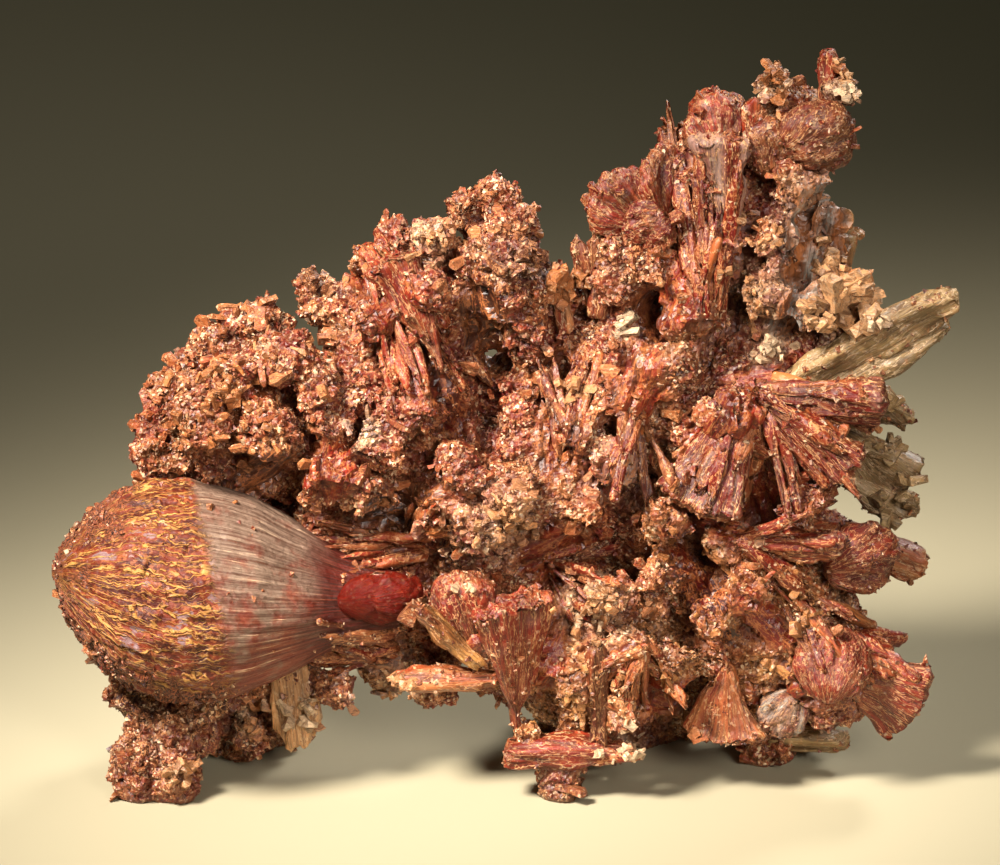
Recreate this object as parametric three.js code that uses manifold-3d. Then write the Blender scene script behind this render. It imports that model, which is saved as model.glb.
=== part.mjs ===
// A stilbite specimen: one cluster of intergrown crystals that stands on its own broken feet.
// Millimetres, +Z up, the face towards -Y, the origin under the middle of the specimen.
import * as THREE from "three";
import { mergeVertices } from "three/addons/utils/BufferGeometryUtils.js";
import Module from "manifold-3d";

const wasm = await Module();
wasm.setup();

// Driving dimensions
const specimenWidth = 113; // from the tip of the great sheaf to the end of the pale blade
const faceTilt = THREE.MathUtils.degToRad(18); // places on the face are read from this far above level
const centreShift = new THREE.Vector3(-0.4, -2.5, 0); // brings the origin under the middle of the bounding box
const specimenHeight = 93;
const roughness = 0.13; // how far a lump's corners stray from its ellipsoid

// Repeatable random numbers from 0 to 1.
function seeded(seed) {
  let state = seed * 2654435761;
  return () => {
    state = (state + 0x6d2b79f5) | 0;
    let mixed = Math.imul(state ^ (state >>> 15), 1 | state);
    mixed = (mixed + Math.imul(mixed ^ (mixed >>> 7), 61 | mixed)) ^ mixed;
    return ((mixed ^ (mixed >>> 14)) >>> 0) / 4294967296;
  };
}

// A place on the specimen: across to the right, up the face as it is seen, and back from the middle plane.
function place(across, up, depth) {
  const height = (up - depth * Math.sin(faceTilt)) / Math.cos(faceTilt);
  return new THREE.Vector3(across, depth, height).add(centreShift);
}

// A closed solid from a three.js geometry, standing where its matrix puts it.
function solidOf(geometry, matrix = new THREE.Matrix4()) {
  const bare = new THREE.BufferGeometry();
  const source = geometry.index ? geometry.toNonIndexed() : geometry;
  bare.setAttribute("position", source.getAttribute("position").clone());
  bare.applyMatrix4(matrix);
  const merged = mergeVertices(bare, 1e-3);
  const vertProperties = new Float32Array(merged.attributes.position.array);
  const triVerts = new Uint32Array(merged.index.array);
  return new wasm.Manifold(new wasm.Mesh({ numProp: 3, vertProperties, triVerts }));
}

// Axes for a crystal that grows along one direction, turned about it by roll.
function growthFrame(origin, direction, roll) {
  const along = direction.clone().normalize();
  const facing = new THREE.Vector3(0, -1, 0);
  const side = new THREE.Vector3().crossVectors(along, facing).normalize();
  const front = new THREE.Vector3().crossVectors(along, side);
  const turned = new THREE.Matrix4().makeBasis(along, side, front);
  turned.multiply(new THREE.Matrix4().makeRotationX(THREE.MathUtils.degToRad(roll)));
  turned.setPosition(origin);
  return turned;
}

// A lump of small crystals: an icosahedron stretched to its radii, with its corners moved at random.
function lump([across, up, depth, rAcross, rDepth, rUp], detail, seed) {
  const random = seeded(seed);
  const fullness = detail ? 1.03 : 1.12; // a coarse icosahedron's faces lie well inside its corners
  const geometry = mergeVertices(bareIcosahedron(detail), 1e-3);
  const corners = geometry.attributes.position;
  for (let i = 0; i < corners.count; i++) {
    const swell = 1 + roughness * (2 * random() - 1);
    corners.setXYZ(
      i,
      corners.getX(i) * rAcross * swell * fullness,
      corners.getY(i) * rDepth * swell * fullness,
      corners.getZ(i) * rUp * swell * fullness,
    );
  }
  return solidOf(geometry, new THREE.Matrix4().setPosition(place(across, up, depth)));
}

function bareIcosahedron(detail) {
  const geometry = new THREE.IcosahedronGeometry(1, detail);
  geometry.deleteAttribute("normal");
  geometry.deleteAttribute("uv");
  return geometry;
}

// A crystal that stands out of the mass: a block with uneven corners or an icosahedron, turned at random.
function crystalLump(centre, radius, seed) {
  const random = seeded(seed);
  const block = random() < 0.5;
  const edge = 1.55 * radius;
  const raw = block ? new THREE.BoxGeometry(edge, edge, edge) : new THREE.IcosahedronGeometry(1.06 * radius);
  raw.deleteAttribute("normal");
  raw.deleteAttribute("uv");
  const geometry = mergeVertices(raw, 1e-3);
  const corners = geometry.attributes.position;
  const stray = (block ? 0.3 : 0.12) * radius;
  for (let i = 0; i < corners.count; i++) {
    corners.setX(i, corners.getX(i) + stray * (2 * random() - 1));
    corners.setY(i, corners.getY(i) + stray * (2 * random() - 1));
    corners.setZ(i, corners.getZ(i) * (1 + 0.3 * random()) + stray * (2 * random() - 1));
  }
  const turn = new THREE.Euler(random() * Math.PI, random() * Math.PI, random() * Math.PI);
  return solidOf(geometry, new THREE.Matrix4().makeRotationFromEuler(turn).setPosition(centre));
}

// A bladed crystal from its root to its tip: a flat six-sided plate with a blunt point.
function blade({ root, tip, width, thickness, roll = 0 }) {
  const from = place(...root);
  const direction = place(...tip).sub(from);
  const length = direction.length();
  const outline = new THREE.Shape();
  outline.moveTo(0, -width * 0.32);
  outline.lineTo(length * 0.55, -width * 0.5);
  outline.lineTo(length * 0.88, -width * 0.42);
  outline.lineTo(length, -width * 0.08);
  outline.lineTo(length * 0.97, width * 0.14);
  outline.lineTo(length * 0.8, width * 0.5);
  outline.lineTo(0, width * 0.32);
  outline.closePath();
  const geometry = new THREE.ExtrudeGeometry(outline, { depth: thickness, bevelEnabled: false });
  geometry.translate(0, 0, -thickness / 2);
  return solidOf(geometry, growthFrame(from, direction, roll));
}

// A fan of blades that spread from one waist: a plate with a toothed round rim, thicker at the rim than at the waist.
function fan({ waist, rim, spread, thickness, roll = 0, teeth = 5 }) {
  const from = place(...waist);
  const direction = place(...rim).sub(from);
  const radius = direction.length();
  const half = THREE.MathUtils.degToRad(spread / 2);
  const outline = new THREE.Shape();
  outline.moveTo(-radius * 0.05, 0);
  for (let tooth = 0; tooth <= teeth; tooth++) {
    const angle = -half + (2 * half * tooth) / teeth;
    const reach = radius * (tooth % 2 ? 0.93 : 1) * (0.86 + 0.14 * Math.cos(angle));
    outline.lineTo(reach * Math.cos(angle), reach * Math.sin(angle));
  }
  outline.closePath();
  const geometry = new THREE.ExtrudeGeometry(outline, { depth: 1, bevelEnabled: false });
  const corners = geometry.attributes.position;
  for (let i = 0; i < corners.count; i++) {
    const out = Math.hypot(corners.getX(i), corners.getY(i)) / radius;
    const side = corners.getZ(i) < 0.5 ? -1 : 1;
    corners.setZ(i, side * thickness * (0.2 + 0.3 * out));
  }
  return solidOf(geometry, growthFrame(from, direction, roll));
}

// A rosette: a round button of radiating plates, seen flat when yaw and pitch are 0.
function rosette({ centre, radius, thickness, yaw = 0, pitch = 0 }) {
  const geometry = new THREE.SphereGeometry(1, 9, 4);
  const corners = geometry.attributes.position;
  for (let i = 0; i < corners.count; i++) {
    const angle = Math.atan2(corners.getZ(i), corners.getX(i));
    const ridge = 1 + 0.05 * Math.cos(5 * angle);
    corners.setXYZ(
      i,
      corners.getX(i) * radius * ridge,
      corners.getY(i) * thickness * 0.5,
      corners.getZ(i) * radius * ridge,
    );
  }
  const turn = new THREE.Euler(
    THREE.MathUtils.degToRad(pitch),
    0,
    THREE.MathUtils.degToRad(yaw),
    "ZYX",
  );
  const matrix = new THREE.Matrix4().makeRotationFromEuler(turn).setPosition(place(...centre));
  return solidOf(geometry, matrix);
}

// The great sheaf: hundreds of blades that flare from a waist to a rim, then close in a blunt dome.
const sheafWaist = [-12.5, 22.2, -3];
const sheafTip = [-55.8, 26.2, -9];
const sheafSides = 18;
const sheafSag = 1.3; // its head hangs this far below a straight line from waist to tip
const sheafProfile = [
  // share of its length from the waist, then the radius there
  [0, 4.4],
  [0.2, 7],
  [0.32, 9.7],
  [0.45, 12.7],
  [0.64, 13.6],
  [0.74, 12.9],
  [0.82, 11],
  [0.9, 8.2],
  [0.96, 4.8],
];

function greatSheaf() {
  const from = place(...sheafWaist);
  const direction = place(...sheafTip).sub(from);
  const length = direction.length();
  const profile = [new THREE.Vector2(0, -3)];
  for (const [share, radius] of sheafProfile) profile.push(new THREE.Vector2(radius, share * length));
  profile.push(new THREE.Vector2(0, length));
  const geometry = new THREE.LatheGeometry(profile, sheafSides);
  geometry.rotateZ(-Math.PI / 2); // the lathe's axis becomes the growth direction
  const bare = new THREE.BufferGeometry();
  bare.setAttribute("position", geometry.toNonIndexed().getAttribute("position"));
  const merged = mergeVertices(bare, 1e-3);
  const random = seeded(7);
  const corners = merged.attributes.position;
  for (let i = 0; i < corners.count; i++) {
    const swell = 1 + 0.045 * (2 * random() - 1);
    const sag = sheafSag * Math.sin((Math.PI * corners.getX(i)) / length);
    corners.setY(i, corners.getY(i) * swell - sag);
    corners.setZ(i, corners.getZ(i) * swell);
  }
  return solidOf(merged, growthFrame(from, direction, 0));
}

// Masses that carry everything else: across, up, depth, then the radii across, in depth and in height.
const cores = [
  [-31, 45, 4, 12.5, 12, 11], // upper left mass
  [-37, 33, 5, 9, 9, 8], // behind the great sheaf
  [-12, 52, 4, 11, 11, 16], // left ridge
  [0, 66, 3, 6, 6, 6], // head of the left ridge
  [1, 38, 5, 16, 14, 17], // middle
  [16, 50, 4, 9, 11, 13], // right of the gorge
  [31, 47, 5, 15, 13, 15], // foot of the tower
  [31, 68, 5, 9, 9, 14], // tower
  [36, 81, 3, 5.5, 6, 6], // head of the tower
  [32, 25, 5, 15, 15, 13], // lower right
  [11, 17, 4, 15, 14, 11], // lower middle
  [-14, 22, 5, 13, 10, 10], // neck to the great sheaf
  [-37, 16, 2, 11, 9, 8], // under the great sheaf
  [-42, 7, -3, 6.5, 7, 7], // left foot
  [-33, 12, 10, 9, 10, 12], // rear left foot
  [16, 12, 16, 12, 9, 13], // rear middle foot
  [36, 12, 9, 9, 9, 10], // right foot
  [41, 15, 0, 9, 9, 8], // lower right corner
  [-19, 35, 4, 10, 9, 8], // between the sheaf and the upper left mass
  [17, 66, 1, 5.5, 6, 10], // below the round heads
  [37, 61, 3, 8, 8, 12], // right of the tower
  [19, 34, 5, 9, 9, 9], // right of the middle
  [24, 76, 3, 5.5, 5, 7], // under the great round head
  [-3, 60.5, 3, 6.5, 7, 8], // between the left ridge and its head
  [4.5, 57.5, 3, 6, 7, 7], // floor of the valley
];

// Drusy knobs: across, up, depth, radius.
const knobs = [
  // left edge and top of the upper left mass
  [-42.2, 39.6, -3, 2.8],
  [-43, 44.5, 1, 3],
  [-41.2, 48.6, 0, 2.9],
  [-39.4, 51.6, 3, 2.6],
  [-35.6, 54, 2, 3.1],
  [-29.2, 57.6, 3, 2.8],
  [-20.6, 58.6, 3, 3.4],
  // face of the upper left mass
  [-37.4, 44.4, -8, 3.5],
  [-33.2, 50, -6, 3.3],
  [-28.6, 43.6, -9, 3.6],
  [-26, 52.2, -6, 3.2],
  [-22, 48.8, -8, 2.9],
  [-20.6, 44.4, -8, 2.8],
  // left ridge and its head
  [-16.6, 64.8, 2, 2.3],
  [-12.6, 67.2, 3, 2.3],
  [-23.4, 60.8, 5, 2.4],
  [-33.4, 56.8, 4, 2.2],
  [-8, 68, -3, 3],
  [-4.2, 70.6, 2, 2.8],
  [-0.6, 71.6, 1, 3],
  [2.4, 69.8, 0, 2.4],
  [-1, 65.8, -4, 3.4],
  [1.4, 61, -4, 3.4],
  [3.4, 56.6, -2, 2.8],
  [-15.6, 57, -7, 3.4],
  [-10.4, 47, -9, 3.6],
  [-14.8, 42.4, -9, 3.2],
  [-5.2, 39.2, -9, 3.4],
  [-15.6, 36, -8, 3.2],
  [-9, 61, -8, 3],
  // right wall of the gorge
  [8, 60, 2, 2.4],
  [15.4, 62, -3, 3.2],
  [9.6, 43.4, -9, 3.4],
  [15, 47.6, -8, 3.6],
  [20.4, 51.8, -8, 3.4],
  [14, 40, -10, 3.4],
  // tower
  [20.4, 63.4, -4, 3.3],
  [24, 58.4, -6, 3.6],
  [27.4, 67.4, -5, 3],
  [33.4, 60.6, -6, 3.6],
  [34, 67.4, -5, 3.6],
  [36.4, 73.4, -4, 3.3],
  [33.5, 86.1, 0, 2.6],
  [42.2, 86.7, 0, 1.7],
  [41.8, 84.8, -2, 2],
  // blocky crystals right of the tower
  [40.6, 70, 0, 2.4],
  [44.6, 61.6, -1, 2.8],
  [39.4, 58.6, -6, 3],
  [43.6, 56.6, -2, 2.8],
  // right side, from the blade down to the corner
  [28.4, 45.4, -10, 3],
  [38.4, 43.4, -8, 3.4],
  [24, 38.6, -10, 3],
  [37.6, 34, -9, 3.2],
  [28.6, 30, -8, 3.4],
  [30.6, 23.4, -10, 3.2],
  [26, 20.4, -10, 3],
  // middle and lower middle
  [-3.4, 31, -10, 3.4],
  [1.6, 35, -10, 3.4],
  [13.6, 23.4, -9, 3],
  [20.6, 33, -10, 3],
  [20.4, 25.4, -7.6, 3.2],
  [9.6, 12.4, -11, 3.2],
  [16.4, 15.6, -10, 3.2],
  [15.6, 9, -10, 3],
  [21.6, 14, -9, 3.2],
  [3.6, 5.6, -8, 2.4],
  [33.8, 4.4, 2, 3],
  // under the great sheaf
  [-46.4, 10.6, -5, 3],
  [-44.4, 5.6, -6, 3],
  [-33, 6.6, -6, 2.8],
  [-31, 5, 0, 3],
  [-21, 11.6, -6, 2.6],
  [-8.4, 11.6, -3, 2.8],
  // red block above the neck of the great sheaf
  [-20.4, 38.8, -8.6, 3.8],
];

// Feet: lumps whose undersides are broken off level, so that the specimen stands.
const feet = [
  [-45.4, 1.4, -8, 3.8, 4, 5.2],
  [-41, 0.6, -8, 4, 4.2, 4.6],
  [7.6, 1, -8, 3.4, 3.4, 5.4],
  [34, 4.6, 5, 4.2, 4.2, 5],
  [-32, 6.4, 14, 6, 6, 7],
  [18, 7.4, 18, 8, 6, 8],
];

// Round buttons of radiating plates.
const rosettes = [
  { centre: [15, 72, -2], radius: 4.6, thickness: 4.6, yaw: 24, pitch: 8 },
  { centre: [20.2, 74.6, 0], radius: 4.6, thickness: 3.8, yaw: 56, pitch: -4 },
  { centre: [18.2, 69, -4], radius: 3.6, thickness: 3.6, yaw: -30, pitch: 20 },
  { centre: [26.9, 81.2, 0], radius: 4.4, thickness: 6, yaw: 12, pitch: -12 },
  { centre: [32.6, 78.4, -3], radius: 3.4, thickness: 4.2, yaw: -18, pitch: 8 },
  { centre: [39.4, 80, -3], radius: 4.8, thickness: 7, yaw: 8, pitch: 24 },
  { centre: [-14.8, 23, -10], radius: 5, thickness: 5, yaw: 6, pitch: 8 },
  { centre: [-4.4, 22, -10], radius: 4.8, thickness: 5.4, yaw: 0, pitch: 10 },
  { centre: [44.8, 27.8, -6], radius: 4.9, thickness: 5, yaw: 14, pitch: 10 },
  { centre: [41.4, 14.6, -9], radius: 5, thickness: 4.8, yaw: 18, pitch: -34 },
  { centre: [35.6, 8, -5.6], radius: 3.4, thickness: 3, yaw: -14, pitch: -8 },
];

// Fans of blades.
const fans = [
  { waist: [2, 6, -8], rim: [1.6, 23, -12], spread: 34, thickness: 4, roll: 28 },
  { waist: [28.6, 15, -6], rim: [28, 4.2, -7], spread: 58, thickness: 3.4, roll: 22 },
  { waist: [39, 16, -5], rim: [52.8, 9.2, -4], spread: 46, thickness: 6, roll: 26 },
  { waist: [31, 49, -8], rim: [47.4, 46.6, -8], spread: 30, thickness: 4.6, roll: 36 },
  { waist: [32, 48, -9], rim: [43.6, 38.4, -10], spread: 34, thickness: 4, roll: 24 },
  { waist: [31, 49, -8], rim: [24, 33.4, -12], spread: 40, thickness: 4.4, roll: 20 },
  { waist: [40, 46, 1], rim: [50.4, 36, 2], spread: 44, thickness: 4, roll: 16 },
  { waist: [-7, 51, -8], rim: [-13.4, 65.4, -5], spread: 30, thickness: 5, roll: 12 },
  { waist: [28, 62, -5], rim: [27, 80, -4], spread: 22, thickness: 5, roll: 10 },
  { waist: [24, 12, 14], rim: [40, 26, 20], spread: 60, thickness: 5, roll: 30 },
  { waist: [4, 30, 14], rim: [-8, 44, 18], spread: 60, thickness: 5, roll: -20 },
  { waist: [30, 58, 8], rim: [36, 74, 12], spread: 40, thickness: 4, roll: 20 },
];

// Single blades and bars.
const blades = [
  { root: [36, 48.8, -4], tip: [56.6, 60.8, -6], width: 6.4, thickness: 3, roll: 24 },
  { root: [40, 48, -4], tip: [55.3, 57, -4], width: 4, thickness: 3.4, roll: -20 },
  { root: [-2.4, 14.6, -10], tip: [-11, 22.6, -14], width: 3, thickness: 2.4, roll: 30 },
  { root: [0, 12.6, -9], tip: [-13.4, 12.6, -9], width: 3, thickness: 2.6, roll: 20 },
  { root: [12.4, 3.8, -9], tip: [11.8, 17.6, -13], width: 3.2, thickness: 2.2, roll: 40 },
  { root: [0.6, 3.4, -9], tip: [15, 3.2, -9], width: 4.4, thickness: 4, roll: 0 },
  { root: [33, 29.8, -8], tip: [43, 29.4, -10], width: 4, thickness: 3, roll: 10 },
  { root: [34, 4.6, 2], tip: [44.6, 4.2, 2], width: 4.6, thickness: 2.4, roll: 50 },
  { root: [40, 83, 0], tip: [40.2, 90.4, 0], width: 2.4, thickness: 2, roll: 0 },
  { root: [31.2, 76, -2], tip: [31.3, 84.6, -1], width: 2.6, thickness: 2, roll: 0 },
  { root: [-26.6, 18, -4], tip: [-25, 4.4, -4], width: 6, thickness: 4.6, roll: 20 },
  { root: [42, 50, 3], tip: [51.6, 44.6, 4], width: 5, thickness: 2.6, roll: 30 },
  { root: [44, 38, 2], tip: [52.2, 33, 1], width: 5, thickness: 3, roll: -20 },
  { root: [43, 31, 2], tip: [54, 26.4, 1], width: 5.6, thickness: 3.4, roll: 24 },
  { root: [12, 58, 0], tip: [9.4, 67.8, 0], width: 2.2, thickness: 1.8, roll: 20 },
  { root: [12, 58, -1], tip: [12.2, 68.6, -1], width: 2.4, thickness: 1.8, roll: -10 },
  { root: [8, 56, -1], tip: [7, 64.4, -2], width: 3, thickness: 2.4, roll: 0 },
];

// Pits and gorges between the crystals, with the same numbers as the cores.
const pits = [
  [-1.4, 44, -8, 1.8, 9, 6], // the gorge
  [-3, 54.6, -8, 2, 6, 2.4],
  [6.2, 54, -8, 2, 7, 2],
  [-6.4, 28.4, -13, 2.8, 4, 1.1],
];

// Lumps that cover the back and the sides, which nothing on the face calls for: a few on the rear of each core.
const lumpsBehindEachCore = 1;

function lumpsBehind() {
  const random = seeded(41);
  const solids = [];
  for (const [across, up, depth, rAcross, rDepth, rUp] of cores) {
    for (let i = 0; i < lumpsBehindEachCore; i++) {
      const angle = Math.PI * (0.08 + 0.84 * random());
      const rise = Math.asin(1.7 * random() - 0.85);
      const centre = place(across, up, depth);
      centre.x += 0.94 * rAcross * Math.cos(angle) * Math.cos(rise);
      centre.y += 0.94 * rDepth * Math.sin(angle) * Math.cos(rise);
      centre.z += 0.94 * rUp * Math.sin(rise);
      solids.push(crystalLump(centre, 2.4 + 2 * random(), 600 + solids.length));
    }
  }
  return solids;
}

function everything() {
  const solids = [greatSheaf(), ...lumpsBehind()];
  cores.forEach((core, i) => solids.push(lump(core, 0, 100 + i)));
  feet.forEach((foot, i) => solids.push(lump(foot, 1, 200 + i)));
  knobs.forEach(([across, up, depth, radius], i) => {
    solids.push(crystalLump(place(across, up, depth), radius, 300 + i));
  });
  rosettes.forEach((button) => solids.push(rosette(button)));
  fans.forEach((spray) => solids.push(fan(spray)));
  blades.forEach((crystal) => solids.push(blade(crystal)));
  return solids;
}

function geometryOf(solid) {
  const made = solid.getMesh();
  const geometry = new THREE.BufferGeometry();
  geometry.setAttribute("position", new THREE.BufferAttribute(made.vertProperties, 3));
  geometry.setIndex(new THREE.BufferAttribute(made.triVerts, 1));
  return geometry;
}

// The outer skin alone: pockets sealed between crystals are filled, and loose crumbs left by a cut are dropped.
function outerSkin(solid) {
  const skins = solidOf(geometryOf(solid)).decompose();
  return skins.sort((a, b) => b.volume() - a.volume())[0];
}

function stilbiteCluster() {
  let cluster = wasm.Manifold.union(everything());
  pits.forEach((pit, i) => {
    cluster = cluster.subtract(lump(pit, 1, 900 + i));
  });
  const above = new THREE.BoxGeometry(2 * specimenWidth, 2 * specimenWidth, 2 * specimenHeight);
  above.translate(0, 0, specimenHeight);
  cluster = cluster.intersect(solidOf(above));
  const geometry = geometryOf(outerSkin(outerSkin(cluster)));
  const material = new THREE.MeshStandardMaterial({ color: 0x9a4a30, roughness: 0.5, metalness: 0 });
  const mesh = new THREE.Mesh(geometry, material);
  mesh.name = "stilbite_cluster";
  return mesh;
}

const specimen = new THREE.Group();
specimen.add(stilbiteCluster());

export default specimen;
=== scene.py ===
import math
import bpy
import numpy as np
from mathutils import Matrix, Vector


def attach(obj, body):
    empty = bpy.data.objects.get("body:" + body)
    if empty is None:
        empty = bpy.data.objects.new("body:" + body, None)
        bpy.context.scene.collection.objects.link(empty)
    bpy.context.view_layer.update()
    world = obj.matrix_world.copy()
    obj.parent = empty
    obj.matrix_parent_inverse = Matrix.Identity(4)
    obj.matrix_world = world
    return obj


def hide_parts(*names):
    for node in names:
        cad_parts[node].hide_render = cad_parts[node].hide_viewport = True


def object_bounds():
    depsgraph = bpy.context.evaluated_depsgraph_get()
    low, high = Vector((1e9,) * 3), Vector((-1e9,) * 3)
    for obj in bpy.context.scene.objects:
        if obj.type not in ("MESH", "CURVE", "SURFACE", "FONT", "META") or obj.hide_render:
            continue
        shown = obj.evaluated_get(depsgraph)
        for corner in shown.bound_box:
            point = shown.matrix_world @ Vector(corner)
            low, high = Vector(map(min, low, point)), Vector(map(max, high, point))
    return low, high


# A stilbite specimen: a crusted body with a great sheaf, round heads, fans and blades, all in druse.
# Everything is built in millimetres and stored in metres.

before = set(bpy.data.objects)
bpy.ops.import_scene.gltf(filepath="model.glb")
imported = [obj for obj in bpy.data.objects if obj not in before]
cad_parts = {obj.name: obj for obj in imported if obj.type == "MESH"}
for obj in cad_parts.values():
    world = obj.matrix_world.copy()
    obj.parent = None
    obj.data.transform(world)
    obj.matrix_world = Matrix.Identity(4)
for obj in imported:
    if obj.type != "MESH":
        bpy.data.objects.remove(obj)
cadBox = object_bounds()

mm = 0.001
faceTilt = math.radians(18)  # places on the face are read from this far above level
towardsViewer = np.array([0, -math.cos(faceTilt), math.sin(faceTilt)])
shift = np.array([-0.4, -2.5, 0.0])  # the same shift that centres the solid
boxMargin = 0.01  # mm by which every mesh stays inside the solid's box
boxLow = np.array(cadBox[0]) / mm + boxMargin
boxHigh = np.array(cadBox[1]) / mm - boxMargin
paleKinds = ("cream", "honey", "olive", "peach")  # crystals of these colours have the pale finish
seedSteps = (3.71, 1.37)  # cells from one seed's pattern to the next, in the soft noise and in the cells


# rows of values as dictionaries that share their keys
def named(keys, rows):
    return [dict(zip(keys.split(), row)) for row in rows]


def clamp(values):
    return np.clip(values, 0, 1)


def place(across, up, depth):
    height = (up - depth * math.sin(faceTilt)) / math.cos(faceTilt)
    return np.array([across, depth, height]) + shift


# back from a point in space to where it is seen on the face: across and up
def onFace(points):
    free = points - shift
    up = free[:, 2] * math.cos(faceTilt) + free[:, 1] * math.sin(faceTilt)
    return np.stack([free[:, 0], up], axis=1)


def unit(vectors):
    return vectors / np.maximum(np.linalg.norm(vectors, axis=-1, keepdims=True), 1e-9)


# axes of a crystal that grows along one direction: along, side, front as columns
def growthAxes(direction, roll=0.0):
    along = unit(np.array(direction, float))
    side = unit(np.cross(along, [0.0, -1.0, 0.0]))
    front = np.cross(along, side)
    turn = math.radians(roll)
    turnedSide = side * math.cos(turn) + front * math.sin(turn)
    turnedFront = front * math.cos(turn) - side * math.sin(turn)
    return np.stack([along, turnedSide, turnedFront], axis=1)


# noise on points

# an even random number from 0 to 1 for each cell; the large numbers only scramble its place
def lattice(cell, seed):
    cell = cell.astype(np.uint32)
    mixed = cell[..., 0] * np.uint32(73856093) ^ cell[..., 1] * np.uint32(19349663)
    mixed ^= cell[..., 2] * np.uint32(83492791) ^ np.uint32(seed * 2654435 + 97)
    mixed = (mixed ^ (mixed >> np.uint32(15))) * np.uint32(2246822519)
    mixed = (mixed ^ (mixed >> np.uint32(13))) * np.uint32(3266489917)
    mixed ^= mixed >> np.uint32(16)
    return mixed.astype(np.float64) / (2 ** 32 - 1)


# the steps to the cells next to one, between low and high each way
def steps(low, high):
    span = range(low, high + 1)
    return [np.array([x, y, z]) for x in span for y in span for z in span]


# soft noise from -1 to 1 whose waves are about size mm long
def softNoise(points, size, seed):
    scaled = points / size + seed * seedSteps[0]
    cell = np.floor(scaled)
    part = scaled - cell
    part = part * part * (3 - 2 * part)
    cell = cell.astype(np.int64)
    total = np.zeros(len(points))
    for step in steps(0, 1):
        near = np.abs(1 - step - part)
        total += near[:, 0] * near[:, 1] * near[:, 2] * lattice(cell + step, seed)
    return total * 2 - 1


# cells of about size mm: how far each point is from the border, its place in its cell, and its number
def cellNoise(points, size, seed):
    scaled = points / size + seed * seedSteps[1]
    cell = np.floor(scaled).astype(np.int64)
    first = np.full(len(points), 9.0)
    second = np.full(len(points), 9.0)
    nearest = np.zeros_like(points)
    number = np.zeros(len(points))
    for step in steps(-1, 1):
        there = cell + step
        spot = np.stack([lattice(there, seed + k) for k in (11, 12, 13)], axis=1) + there
        away = np.linalg.norm(scaled - spot, axis=1)
        closer = away < first
        second = np.where(closer, first, np.minimum(second, away))
        first = np.where(closer, away, first)
        nearest[closer] = spot[closer]
        number[closer] = lattice(there[closer], seed + 14)
    return (second - first) * size, (scaled - nearest) * size, number


# flat facets that stand out and tilt at random: how far each point moves out, and is from the border
def facets(points, size, seed, lift, tilt):
    border, offset, number = cellNoise(points, size, seed)
    keys = (number * 99991).astype(np.int64)  # a whole number for each cell
    still = keys * 0
    leans = [lattice(np.stack([keys, still + k, still], axis=1), seed) for k in (1, 2, 3)]
    lean = unit(np.stack(leans, axis=1) * 2 - 1)
    return lift * (number * 2 - 1) + tilt * np.sum(lean * offset, axis=1), border


# a rounded knob in each cell: near 1 in its middle, 0 at its border
def knobs(points, size, seed):
    border, _, number = cellNoise(points, size, seed)
    rise = clamp(border / (size * 0.55))
    return np.sqrt(1 - (1 - rise) ** 2) * (0.6 + 0.4 * number)


# colours

def paint(code):
    parts = [int(code[i:i + 2], 16) / 255 for i in (1, 3, 5)]
    return np.array([p / 12.92 if p <= 0.04045 else ((p + 0.055) / 1.055) ** 2.4 for p in parts])


palette = {
    "tan": paint("#b36b3a"),
    "peach": paint("#d3925f"),
    "brick": paint("#8a2a15"),
    "deepRed": paint("#681106"),
    "gold": paint("#cb9350"),
    "cream": paint("#e6c39b"),
    "lilac": paint("#a88a7c"),
    "blueGrey": paint("#a39a8c"),
    "olive": paint("#a28458"),
    "brown": paint("#6b3c26"),
    "dark": paint("#30120a"),
    "honey": paint("#e0a772"),
}

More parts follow.
